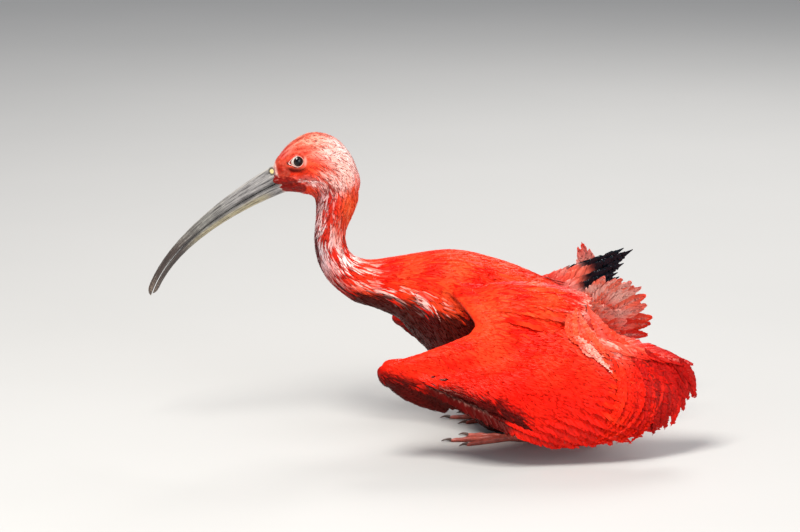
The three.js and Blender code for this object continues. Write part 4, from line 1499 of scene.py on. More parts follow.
@dataclass
class Wing:
    """A half-open wing: its rows of flight feathers and coverts over the arm."""

    side: Side
    pose: WingPose
    markings: Markings
    secondaries: int = 14
    primaries: int = 10
    coverts: int = 15
    scapulars: int = 6
    black = "0C161D"
    pale = "F6B7A6"

    def __post_init__(self) -> None:
        pose = self.pose
        self.rows = {
            SECONDARY: (self.secondaries, pose.secondary),
            GREATER_COVERT: (self.coverts, pose.secondary),
            PRIMARY: (self.primaries, pose.primary),
            PRIMARY_COVERT: (8, pose.primary),
            SCAPULAR: (self.scapulars, pose.scapular),
        }
        self.far = self.side is Side.RIGHT
        self.flip = np.array([1, -1 if self.far else 1, 1])

    def lift(self, kind: Feather, u: Array) -> Array:
        """How far a row's feathers lie over the arm's middle: the inner ones lie over the outer ones."""
        stacked = (kind.step + self.pose.stack * 0.6) * (self.rows[kind][0] - 1) * (1 - u)
        return kind.lift + stacked - kind.sunk * smoothstep(0.35, 1, u)

    def on_pad(self, pad: Pad, u: float, s: Array, face: Array) -> tuple[Array, Array]:
        """Reads a pad's surface.

        Args:
            pad: which pad.
            u: the place along the row.
            s: places from the feathers' roots to the pad's end.
            face: 1 on its top, -1 under it.
        Returns:
            The places, and the way its small feathers point.
        """
        path, normal = self.rows[pad.kind][1](u, 0.0)
        along = s * pad.reach_at(u) * self.pose.padded
        risen = np.minimum(1, along / self.pose.ramp)
        first, last = (
            self.lift(kind, u) * risen + mix(pad.under[k], pad.top[k], (1 + face) / 2)
            for k, kind in enumerate((pad.kind, pad.onto))
        )
        sag = pad.sag * (0.6 + 2.2 * smoothstep(0.3, 0.6, along - 0.35 * u))
        way = unit(path(along + 0.03) - path(along)) - sag[..., None] * np.array([0, 0, 1])
        return path(along) + normal * mix(first, last, s**1.5)[..., None], unit(way)

    def sheet(self, u: Array, s: Array) -> Array:
        """Reads the top of the feathered wing: u along the row of secondaries, s down them.

        Args:
            u: places along the row.
            s: places down the feathers.
        Returns:
            The places in millimetres.
        """
        path, normal = self.pose.secondary(u, 0.0)
        reach = COVERT_PAD.reach_at(u)
        high, low = self.lift(GREATER_COVERT, u) + COVERT_PAD.top[0], self.lift(SECONDARY, u)
        padded = mix(high, low + COVERT_PAD.top[1], np.minimum(s / reach, 1) ** 1.5)
        return path(s) + normal * mix(padded, low + 1.4, smoothstep(reach, reach + 0.12, s))[..., None]

    def row(self, webs: Webs, kind: Feather, spread: float, scale: float = 1.0) -> None:
        """Adds feathers side by side.

        Args:
            webs: the piece they join.
            kind: their build.
            spread: how unevenly they end, as a share of their length.
            scale: widens or narrows them.
        """
        count, describe = self.rows[kind]
        worn = replace(kind, shape=WET_SHAPE, both=True) if self.far else kind
        for u in np.linspace(0, 0.8 if kind is SCAPULAR else 1, count):
            path, normal = describe(u, self.lift(kind, u))
            low, high = kind.span
            high = low + (high - low) * (1 - spread * webs.draw.random())
            laid = lambda t, p=path, a=low, b=high: p(a + (b - a) * np.asarray(t))
            own, tipped = webs.draw.random(), kind is PRIMARY and u > self.pose.black_from
            tint = lambda a, c, p=laid, o=own, k=tipped: self.tint(p, a, c, o, k)
            webs.add(laid, normal, worn, tint, scale * webs.draw.uniform(0.9, 1.06))

    def tint(self, path: Route, along: Array, across: Array, own: float, tipped: bool) -> Array:
        """Colours a feather along and across its web.

        Args:
            path: its middle line.
            along: places between its root and its tip.
            across: places from -1 to 1 across its web.
            own: its own number between 0 and 1.
            tipped: whether its tip is black.
        Returns:
            A colour for each place.
        """
        base = self.markings.along(path, along, own, self.flip)
        deep = mix(base, base * np.array([0.7, 0.5, 0.6]), (smoothstep(0.55, 1, along) * 0.6)[:, None])
        colours = dyed(deep, self.pale, np.exp(-((across / 0.05) ** 2)) * 0.35)
        return dyed(colours, self.black, smoothstep(0.78, 0.83, along)) if tipped else colours

    def build(self, plumage: Material, flying: Material, seed: int) -> list[Thing]:
        """Builds the wing's pieces.

        Args:
            plumage: the finish of its coverts.
            flying: the finish of its flight feathers.
            seed: for its random draws.
        Returns:
            The flight feathers and the coverts.
        """
        draw, narrow, far = np.random.default_rng(seed), self.pose.narrowing, self.far
        flight, coverts = Webs(draw), Webs(draw)
        self.row(flight, PRIMARY, 0.1 if far else 0.03)
        self.row(flight, SECONDARY, 0.12 if far else 0.03, narrow)
        for kind in (PRIMARY_COVERT, *([GREATER_COVERT] if far else []), SCAPULAR):
            self.row(coverts, kind, 0.12, narrow)
        return [
            flight.finish(f"flight_feathers_{self.side.word}", flying, far),
            coverts.finish(f"coverts_{self.side.word}", plumage, far),
        ]


@dataclass(frozen=True)
class Locks:
    """A row of wet locks over the wing.

    Starts and ends are places at the row's two ends, along the row of secondaries and down them. Hung is how
    far each starts up towards the scapulars' tips, and dyed the stretch in which its own colour sets in.
    """

    starts: tuple[Pair, Pair]
    ends: tuple[Pair, Pair]
    count: int
    width: float
    colour: str
    second: str
    strength: float = 0.85
    hung: float = 0.0
    dyed: Pair = (-0.5, 0.05)


LOCKS = (
    Locks(((0.1, 0.45), (0, 0.6)), ((0.95, 0.98), (0.72, 1.02)), 14, 6, "F42408", "DE1205", 0.5, 0, (0, 0.3)),
    Locks(((0, 0.54), (0.03, 0.9)), ((0.7, 1.02), (0.16, 1.0)), 20, 8, "B80A07", "7E0504"),
    Locks(((0.15, 0.6), (0.1, 0.92)), ((0.6, 1.03), (0.25, 1.03)), 10, 7, "D0120A", "8A0706", 0.75),
    Locks(((0, 0.3), (0, 0.62)), ((0.4, 0.6), (0.3, 0.82)), 14, 5, "F2401E", "DA1C0A", 0.85, 0.8),
    Locks(((0, 0.05), (0, 0.3)), ((0.16, 0.32), (0.22, 0.5)), 12, 4, "F6542E", "E42A10", 0.8, 0.8),
    Locks(
        ((0, 0.16), (0.12, 0.28)), ((0.17, 0.4), (0.3, 0.52)), 8, 3.2, "F9C8B8", "F27E66", 0.85, 0, (0.2, 0.6)
    ),
)


@dataclass
class Curtain:
    """The wet locks that hang down over the half-open wing from its elbow."""

    wing: Wing
    rows: tuple[Locks, ...] = LOCKS

    def build(self, plumage: Material, seed: int) -> Thing:
        """Builds the locks.

        Args:
            plumage: their finish.
            seed: for the random draws.
        Returns:
            The piece.
        """
        webs = Webs(np.random.default_rng(seed))
        for row in self.rows:
            for share in np.linspace(0, 1, row.count):
                self.hang(webs, row, share)
        return webs.finish("wet_feathers_" + self.wing.side.word, plumage)

    def hang(self, webs: Webs, row: Locks, share: float) -> None:
        """Hangs one lock at a share of the way along its row.

        Args:
            webs: the piece it joins.
            row: the row it hangs in.
            share: its place along the row.
        """
        draw, wing = webs.draw, self.wing
        start, end = (
            mix(*np.array(ends, float), share) + draw.normal(0, 0.02, 2) for ends in (row.starts, row.ends)
        )
        start, end = mix(start, end, draw.uniform(0, 0.25)), mix(start, end, draw.uniform(0.72, 1.02))
        start[0], sway = max(start[0], 0), draw.normal(0, 0.03)
        normal = wing.pose.arm.normal(0.26 + 0.7 * (start[0] + end[0]) / 2)
        rise = normal * draw.uniform(0.3, 1.2)
        top = wing.pose.scapular(share * 0.4, 6.0)[0](np.array(0.85))
        over = (top - wing.sheet(*start)) * row.hung
        own = draw.random()
        main = mix(srgb(row.colour), srgb(row.second), own)

        def path(t: Array) -> Array:
            """Follows the wing's surface down."""
            t = np.asarray(t, float)
            u, s = (start[k] + (end[k] - start[k]) * t for k in (0, 1))
            u = np.clip(u + sway * np.sin(math.pi * t), 0, 1)
            return wing.sheet(u, s) + rise + over * ((1 - t) ** 2)[..., None]

        def tint(along: Array, across: Array) -> Array:
            """Colours it by its own shade, with the body's markings showing through."""
            base = wing.markings.along(path, along, own)
            return mix(base, main, row.strength * smoothstep(*row.dyed, along)[:, None])

        kind = replace(LOCK, width=row.width * draw.uniform(0.7, 1.35), tilt=draw.normal(0, 6))
        webs.add(path, normal, kind, tint)


@dataclass(frozen=True)
class Fold:
    """A fold of the face: its line seen from the side, its width, and its depth, below 0 for a furrow."""

    line: tuple[Pair, ...]
    width: float
    depth: float


FACE_FOLDS = (
    Fold(((-198, 221.5), (-188, 220.5), (-176, 222.5), (-168, 226)), 1.3, -1.1),
    Fold(((-196, 225), (-187, 224.5), (-176, 227)), 1.6, 0.7),
    Fold(((-187, 237), (-178, 233.5), (-168, 236)), 1.4, -0.8),
    Fold(((-188, 234), (-178, 230.5), (-168, 233)), 1.4, 0.5),
    Fold(((-194, 216.5), (-184, 216), (-174, 218)), 1.0, -0.6),
    Fold(((-187, 228.5), (-183, 224), (-181, 218)), 0.9, -0.5),
    Fold(((-191, 243), (-186, 247), (-180, 250)), 1.3, 0.5),
    Fold(((-195, 236), (-189, 238), (-184, 239)), 0.9, -0.5),
)
FACE_SHADES = (
    # the first is painted shade in the fold under the eye; the rest are the face skin's own colours
    Patch(-177.5, 235.0, 9.0, 2.6, "420604", 0.85),
    Patch(-186.0, 225.5, 9.0, 2.2, "520604", 0.85),
    Patch(-184.0, 219.5, 15.0, 3.0, "760805", 0.85),
    Patch(-190.0, 235.5, 3.2, 4.0, "961808", 0.85),
    Patch(-168.5, 243.0, 1.6, 4.0, "E9A596", 0.85),
)


@dataclass
class Skin:
    """One seamless skin over the head, neck, trunk, thighs, wing arms and tail's root."""

    markings: Markings
    lie: Lie
    arms: ArmLie
    voxel: float = 1.75
    lowest: float = 1.2  # height of its lowest points above the floor
    nodes: tuple[str, ...] = ("head", "neck_upper", "neck_lower", "torso", "thigh_left", "thigh_right")

    def build(self, frame: dict, wings: list[Wing], tail: Tail, material: Material) -> Thing:
        """Builds the skin.

        Args:
            frame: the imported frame.
            wings: both wings, whose arms it covers.
            tail: the tail, whose root it covers.
            material: its finish.
        Returns:
            The skin.
        """
        parts = [self.copy_of(frame["nodes"][name]) for name in self.nodes]
        for wing in wings:
            parts += self.arm(wing)
        skin = joined([*parts, tail.stub()])
        skin.data.materials.clear()
        apply_modifier(skin, "REMESH", mode="VOXEL", voxel_size=self.voxel * MM)
        apply_modifier(skin, "SMOOTH", factor=0.5, iterations=7)
        self.refine_head(skin)
        self.sink(skin)
        self.shape_face(skin)
        skin.data.materials.append(material)
        settle(skin, "skin", 70)
        points = points_of(skin)
        set_tint(skin, self.colours(points))
        skin.data.attributes.new(BARE, "FLOAT", "POINT").data.foreach_set("value", bareness(points, True))
        while skin.data.uv_layers:
            skin.data.uv_layers.remove(skin.data.uv_layers[0])
        skin.data.uv_layers.new(name=UV_BAKE)
        with editing(skin):
            bpy.ops.uv.smart_project(angle_limit=math.radians(66), island_margin=0.001)
        LOG.info("skin: %d faces", len(skin.data.polygons))
        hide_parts(*self.nodes)
        return skin

    @staticmethod
    def copy_of(node: Thing) -> Thing:
        """Copies a node of flesh and merges its doubles.

        Args:
            node: the flesh.
        Returns:
            The copy, free of its parent.
        """
        copy = node.copy()
        copy.data = node.data.copy()
        copy.parent = None
        for key in list(copy.keys()):
            del copy[key]
        bpy.context.scene.collection.objects.link(copy)
        with editing(copy):
            bpy.ops.mesh.remove_doubles(threshold=1e-6)
        return copy

    @staticmethod
    def arm(wing: Wing) -> list[Thing]:
        """Models a wing's arm and hand as plates between their edges, and its wrist.

        Args:
            wing: the wing.
        Returns:
            The bodies, to be joined with the rest.
        """
        turns = np.linspace(0, 2 * math.pi, 16, endpoint=False) + math.pi / 16
        share, sine = (1 - np.cos(turns)) / 2, np.sin(turns)
        plates = (wing.pose.arm, wing.pose.hand)
        bodies = [[plate.at(u, share, sine) for u in np.linspace(0, 1, 10)] for plate in plates]
        rise = np.sign(sine) * np.abs(sine) ** 0.4
        bodies += [[wing.on_pad(pad, u, share, rise)[0] for u in np.linspace(0, 1, 16)] for pad in PADS]
        bpy.ops.mesh.primitive_uv_sphere_add(segments=24, ring_count=16, radius=MM)
        wrist = bpy.context.object
        centre, radii = wing.pose.wrist
        bpy.ops.transform.resize(value=radii)
        bpy.ops.transform.translate(value=np.array(centre) * wing.flip * MM)
        settle(wrist, "wrist")
        return [*(lofted("arm", [ring * wing.flip for ring in rings]) for rings in bodies), wrist]

    def refine_head(self, skin: Thing) -> None:
        """Gives the head and face four times the faces of the rest.

        Args:
            skin: the skin.
        """
        points, mesh = points_of(skin), skin.data
        near = (points[:, 0] < -150) & (points[:, 2] > 203)
        with editing(skin, "DESELECT"):
            pass
        mesh.vertices.foreach_set("select", near)
        corners = near[read(mesh.loops, "vertex_index")]
        starts = read(mesh.polygons, "loop_start")
        mesh.polygons.foreach_set("select", np.logical_and.reduceat(corners, starts))
        mesh.edges.foreach_set("select", near[read(mesh.edges, "vertices", 2)].all(1))
        edit_mode()
        bpy.ops.mesh.subdivide(number_cuts=1, smoothness=1.0)
        edit_mode(False)

    def normals(self, skin: Thing) -> Array:
        """Reads which way the skin faces at each point."""
        return read(skin.data.vertex_normals, "vector", 3, np.float32).astype(float)

    def sink(self, skin: Thing) -> None:
        """Lowers the skin by the depth of the coat on it.

        Args:
            skin: the skin.
        """
        points = points_of(skin)
        table = np.array(COAT_ROWS)
        depth = np.interp(self.lie.place(points), table[:, 0], table[:, 5])
        depth = mix(depth, 0.6, self.arms.read(points)[0]) * (1 - 0.8 * bareness(points))
        points = points - self.normals(skin) * depth[:, None]
        points[:, 2] = np.maximum(points[:, 2], self.lowest)
        set_points(skin, points)

    def shape_face(self, skin: Thing) -> None:
        """Presses the face's folds into the skin and raises its wrinkles.

        Args:
            skin: the skin.
        """
        points, normals = points_of(skin), self.normals(skin)
        flat = points[:, [0, 2]]
        near = (flat[:, 0] < -140) & (flat[:, 1] > 195)
        depth = np.zeros(len(points))
        for fold in FACE_FOLDS:
            line = curve([(x, 0, z) for x, z in fold.line], np.linspace(0, 1, 40))[:, [0, 2]]
            gap = np.full(len(flat), 99.0)
            gap[near] = np.sqrt(((flat[near][:, None] - line[None]) ** 2).sum(-1).min(1))
            depth += fold.depth * np.exp(-((gap / fold.width) ** 2))
        bare = bareness(points)
        depth += bare * 0.28 * ripple(points * [0.6, 1, 1.3], 2.3, 8) + bare * 0.14 * ripple(points, 1.3, 9)
        side = smoothstep(3, 8, np.abs(points[:, 1]))
        set_points(skin, points + normals * (depth * side)[:, None])

    def colours(self, points: Array) -> Array:
        """Colours the skin: the coat's own colours darkened as painted shade between the feathers, and red on
        the bare face.

        Args:
            points: its points in millimetres.
        Returns:
            A colour for each.
        """
        # 0.8: painted shade in the gaps between the feathers
        coat = self.markings.tint(points) * 0.8
        low = smoothstep(229, 213, points[:, 2])[:, None]
        naked = mix(srgb("C63E28"), srgb("A5120A"), low)
        pale = 0.5 + 0.5 * ripple(points, 3.2, 31)[:, None]
        naked = dyed(naked, "DB7A63", pale * 0.3 * (1 - low))
        for shade in FACE_SHADES:
            naked = dyed(naked, shade.colour, shade.strength * shade.share(points))
        border = points[:, 0] + 193.1 + 0.254 * (points[:, 2] - 228.5)
        horn = (1 - smoothstep(-0.9, 0.2, border)) * smoothstep(224.5, 226, points[:, 2])
        rim = np.exp(-(((border - 0.5) / 0.9) ** 2)) * smoothstep(225, 228, points[:, 2])
        naked = dyed(dyed(naked, "8F8C8A", horn), "F3D5C9", 0.85 * rim)
        return mix(coat, naked, bareness(points)[:, None])


REGIONS = ("head", "neck", "back", "breast", "wing_left", "wing_right")


@dataclass
class Plumage:
    """The small feathers over the whole skin, each laid along it from its own root."""

    skin: Thing
    lie: Lie
    arms: ArmLie
    markings: Markings
    seed: int = 21
    candidates: int = 640_000
    most: int = 6_500  # feathers in one piece
    in_lock: int = 7  # feathers that cling together
    gather: float = 0.75
    lowest: float = 0.35  # height of the lowest points above the floor
    stations = np.array([0.0, 0.28, 0.56, 0.82, 1.0])
    taper = np.array([0.4, 0.88, 1.0, 0.66, 0.07])
    shade = np.array([0.86, 0.94, 1.0, 1.02, 1.05])[None, :, None, None]

    def build(self, material: Material) -> list[Thing]:
        """Builds the coat.

        Args:
            material: its finish.
        Returns:
            Its pieces.
        """
        draw = np.random.default_rng(self.seed)
        self.tree = self.surface()
        roots, maps = self.scatter(draw)
        sizes = self.sizes(roots, draw)
        region = self.regions(roots)
        pieces = []
        for number, name in enumerate(REGIONS):
            chosen = np.flatnonzero(region == number)
            for part in range(0, len(chosen), self.most):
                picked = chosen[part : part + self.most]
                label = f"plumage_{name}" + (f"_{part // self.most + 1}" if len(chosen) > self.most else "")
                pieces.append(self.tufts(label, roots[picked], sizes[picked], maps[picked], draw, material))
        return pieces

    def surface(self) -> BVHTree:
        """Reads the skin's triangles for laying feathers on."""
        mesh = self.skin.data
        mesh.calc_loop_triangles()
        self.points = points_of(self.skin)
        self.triangles, self.loops = (read(mesh.loop_triangles, name, 3) for name in ("vertices", "loops"))
        return BVHTree.FromPolygons(self.points.tolist(), self.triangles.tolist())

    def scatter(self, draw: Random) -> tuple[Array, Array]:
        """Draws the feathers' roots, no two nearer than the coat's spacing there.

        Args:
            draw: the random numbers.
        Returns:
            The roots and their places on the baking map.
        """
        a, b, c = (self.points[self.triangles[:, k]] for k in range(3))
        area = np.linalg.norm(np.cross(b - a, c - a), axis=1)
        weight = area / self.spacing((a + b + c) / 3) ** 2
        picked = draw.choice(len(area), self.candidates, p=weight / weight.sum())
        s, t = draw.random((2, self.candidates))
        over = s + t > 1
        s, t = np.where(over, 1 - s, s)[:, None], np.where(over, 1 - t, t)[:, None]
        places = a[picked] * (1 - s - t) + b[picked] * s + c[picked] * t
        allowed = (bareness(places) < 0.5) & (places[:, 2] > 2.0)
        kept = self.thin(places, self.spacing(places), allowed)
        maps = read(self.skin.data.uv_layers[UV_BAKE].data, "uv", 2, np.float32)
        m0, m1, m2 = (maps[self.loops[picked[kept], k]] for k in range(3))
        return places[kept], m0 * (1 - s - t)[kept] + m1 * s[kept] + m2 * t[kept]

    @staticmethod
    def thin(places: Array, spacing: Array, allowed: Array) -> Array:
        """Keeps places in turn, each only where no kept one is nearer than its spacing.

        Args:
            places: where feathers might grow.
            spacing: the least gap round each.
            allowed: whether one may grow there.
        Returns:
            The numbers of the places that are kept.
        """
        kept: list[int] = []
        boxes: dict[tuple[int, int, int], list[list[float]]] = {}
        keys = np.floor(places / spacing.max()).astype(int)
        coords, gaps = places.tolist(), (spacing**2).tolist()
        around = [(i, j, k) for i in (-1, 0, 1) for j in (-1, 0, 1) for k in (-1, 0, 1)]
        for n in np.flatnonzero(allowed).tolist():
            i, j, k = keys[n].tolist()
            x, y, z = coords[n]
            gap = gaps[n]
            near = (spot for di, dj, dk in around for spot in boxes.get((i + di, j + dj, k + dk), ()))
            if all((a - x) ** 2 + (b - y) ** 2 + (c - z) ** 2 >= gap for a, b, c in near):
                kept.append(n)
                boxes.setdefault((i, j, k), []).append(coords[n])
        return np.array(kept)

    def row_values(self, points: Array) -> Array:
        """Reads the coat's table at each place."""
        table, s = np.array(COAT_ROWS), self.lie.place(points)
        return np.stack([np.interp(s, table[:, 0], table[:, k]) for k in range(1, 6)], axis=1)

    def spacing(self, points: Array) -> Array:
        """Gives how far apart roots stand."""
        share, across, _ = self.arms.read(points)
        return mix(self.row_values(points)[:, 2], mix(1.5, 1.8, smoothstep(0, 0.45, across)), share)

    def sizes(self, roots: Array, draw: Random) -> Array:
        """Draws each feather's length, width and lift, all less near the face's bare skin.

        Args:
            roots: where the feathers grow.
            draw: the random numbers.
        Returns:
            A row for each.
        """
        share, across, _ = self.arms.read(roots)
        grown = smoothstep(0, 0.5, across)
        arm = np.stack([mix(9.0, 21.0, grown), mix(1.6, 2.2, grown), mix(0.25, 0.34, across)], axis=1)
        sizes = mix(self.row_values(roots)[:, [0, 1, 3]], arm, share[:, None])
        gap = np.minimum(np.linalg.norm(EYE.offset(roots), axis=1) - EYE.bare, roots[:, 0] + 186)
        sizes = sizes * mix(0.45, 1.0, smoothstep(1, 12, gap))[:, None]
        return sizes * draw.uniform(0.8, 1.2, sizes.shape)

    def regions(self, roots: Array) -> Array:
        """Sorts roots into the coat's regions.

        Args:
            roots: where the feathers grow.
        Returns:
            The number of each one's region.
        """
        share, _, left = self.arms.read(roots)
        s = self.lie.place(roots)
        found = np.select([s < 72, s < 165, roots[:, 2] > 88], [0, 1, 2], 3)
        return np.where(share > 0.5, np.where(left, 4, 5), found)

    def way(self, points: Array) -> Array:
        """Gives the direction that feathers point in at each place."""
        share = self.arms.read(points)[0]
        return unit(mix(self.lie.way(points), self.arms.way(points), share[:, None]))

    def tufts(
        self, name: str, roots: Array, sizes: Array, maps: Array, draw: Random, material: Material
    ) -> Thing:
        """Lays one region's feathers and joins them.

        Args:
            name: the piece's name.
            roots: where they start.
            sizes: each one's length, width and lift.
            maps: each root's place on the baking map.
            draw: the random numbers.
            material: their finish.
        Returns:
            The piece.
        """
        stations, count, rows = self.stations, len(roots), len(self.stations)
        lock = self.locks(roots, draw)
        apart = mix(0.8, 0.35, smoothstep(60, 90, self.lie.place(roots)))
        own = mix(draw.random(count)[lock], draw.random(count), apart)
        swerve = 0.16 * ripple(roots, 26, 41) + draw.normal(0, 0.06, count)
        line, facing = np.empty((count, rows, 3)), np.empty((count, rows, 3))
        place = roots.copy()
        for k in range(rows):
            place, normal = self.settle_on(place)
            height = -0.5 + (sizes[:, 2] + 0.75) * stations[k] ** 0.8 + sizes[:, 2] * 0.8 * stations[k] ** 3
            line[:, k], facing[:, k] = place + normal * height[:, None], normal
            if k + 1 < rows:
                ahead = self.way(place)
                ahead = unit(ahead - normal * (ahead * normal).sum(1, keepdims=True))
                left = np.cross(normal, ahead)
                if k == 0:
                    aside = ((roots - roots[lock]) * left).sum(1) / sizes[:, 0]
                    swerve = swerve - np.clip(self.gather * aside, -0.5, 0.5)
                ahead = unit(ahead + left * swerve[:, None])
                place = place + ahead * (sizes[:, 0] * (stations[k + 1] - stations[k]))[:, None]
        line[:, 1:-1] = (line[:, :-2] + 2 * line[:, 1:-1] + line[:, 2:]) / 4
        half = sizes[:, 1:2] * self.taper / 2
        side = unit(np.cross(np.gradient(line, axis=1), facing))
        out = np.cross(side, unit(np.gradient(line, axis=1)))
        points, quads, triangles = prisms(line, out, half, 0.06 + half * 0.13, half * 0.12)
        points = points.reshape(-1, 3)
        points[:, 2] = np.maximum(points[:, 2], self.lowest)
        thing = mesh_of(name, points, quads, triangles, np.tile([0, 1, 2], count * rows))
        tints = self.markings.tint(roots, own)[:, None, None] * self.shade * np.ones((1, 1, 3, 1))
        set_tint(thing, np.clip(tints.reshape(-1, 3), 0, 1))
        across = np.stack([np.zeros_like(half), half, -half], axis=2)
        along = np.broadcast_to((sizes[:, :1] * stations[None])[..., None], across.shape)
        vane = np.stack([0.5 + across * MM * 10, along * MM * 10 + own[:, None, None] * 50], -1)
        set_map(thing, UV_VANE, vane.reshape(-1, 2))
        corners = np.array([0.5, 0.95, 0.05]), stations[None, :, None]
        patch = np.stack([np.broadcast_to(values, across.shape) for values in corners], -1)
        set_map(thing, UV_BAKE, (maps[:, None, None] + (patch - 0.5) * PATCH).reshape(-1, 2))
        thing.data.materials.append(material)
        LOG.info("%s: %d feathers", name, count)
        return thing

    def locks(self, roots: Array, draw: Random) -> Array:
        """Gathers feathers in wet locks, and gives for each the one that its lock closes on.

        Args:
            roots: where the feathers grow.
            draw: the random numbers.
        Returns:
            The number of that feather for each.
        """
        seeds = draw.choice(len(roots), max(1, len(roots) // self.in_lock), replace=False)
        parts = np.array_split(roots, len(roots) // 400 + 1)
        middles = roots[seeds][None]
        return seeds[np.concatenate([((p[:, None] - middles) ** 2).sum(-1).argmin(1) for p in parts])]

    def settle_on(self, places: Array) -> tuple[Array, Array]:
        """Finds the nearest places on the skin, and which way it faces there.

        Args:
            places: places near the skin.
        Returns:
            The places on it, and unit vectors that point out of it.
        """
        found, facing = np.empty_like(places), np.empty_like(places)
        nearest = self.tree.find_nearest
        for n, place in enumerate(places.tolist()):
            found[n], facing[n], _, _ = nearest(place)
        return found, facing


class ArmLie:
    """How feathers lie on the wings' arms and hands, read from samples over their plates."""

    reach = (2.5, 8.0)

    def __init__(self, wings: list[Wing]) -> None:
        grid = np.meshgrid(np.linspace(0, 1, 26), np.linspace(0, 1, 9), indexing="ij")
        u, v = (values.ravel() for values in grid)
        bulge, far = np.sqrt(np.clip(1 - (2 * v - 1) ** 2, 0, 1)), np.linspace(0, 1, 12)
        samples = []
        for wing in wings:
            pose, arm, hand = wing.pose, wing.pose.arm.at, wing.pose.hand.at
            low, high, share = pose.secondary_roots
            tips = curve(pose.secondary_tips, np.clip((u - low) / (high - low), 0, 1))
            outward = unit(unit(arm(u, 1.0) - arm(u, 0.0)) + 1.2 * unit(tips - arm(u, share)))
            along_hand = unit(curve(pose.primary_tips, u) - hand(u, 0.6))
            for face in (-1.0, 1.0):
                lift = bulge * face
                found = [(arm(u, v, lift), outward, v), (hand(u, v, lift), along_hand, v * 0.6)]
                found += [
                    (*wing.on_pad(pad, place, far, np.full(12, face)), 0.55 + 0.45 * far)
                    for pad in PADS
                    for place in np.linspace(0, 1, 22)
                ]
                for spot, aim, across in found:
                    left = np.full(len(spot), wing.side is Side.LEFT)
                    samples.append((spot * wing.flip, aim * wing.flip, across, left))
        self.places, self.ways, self.across, self.left = (np.concatenate(column) for column in zip(*samples))

    def nearest(self, points: Array) -> tuple[Array, Array]:
        """Finds the nearest sample and its distance for each place.

        Args:
            points: places in millimetres.
        Returns:
            The samples' numbers, and their distances in millimetres.
        """
        numbers, gaps = [], []
        squares = (self.places**2).sum(1)
        for part in np.array_split(points, max(1, len(points) // 4000)):
            away = (part**2).sum(1)[:, None] + squares[None] - 2 * part @ self.places.T
            picked = away.argmin(1)
            numbers.append(picked)
            gaps.append(np.sqrt(np.maximum(away[np.arange(len(part)), picked], 0)))
        return np.concatenate(numbers), np.concatenate(gaps)

    def read(self, points: Array) -> tuple[Array, Array, Array]:
        """Tells how far each place is on a wing, where it is across it, and whether that is the left one."""
        picked, gap = self.nearest(points)
        return 1 - smoothstep(*self.reach, gap), self.across[picked], self.left[picked]

    def way(self, points: Array) -> Array:
        """Gives the direction of the coat on the nearest arm."""
        return self.ways[self.nearest(points)[0]]


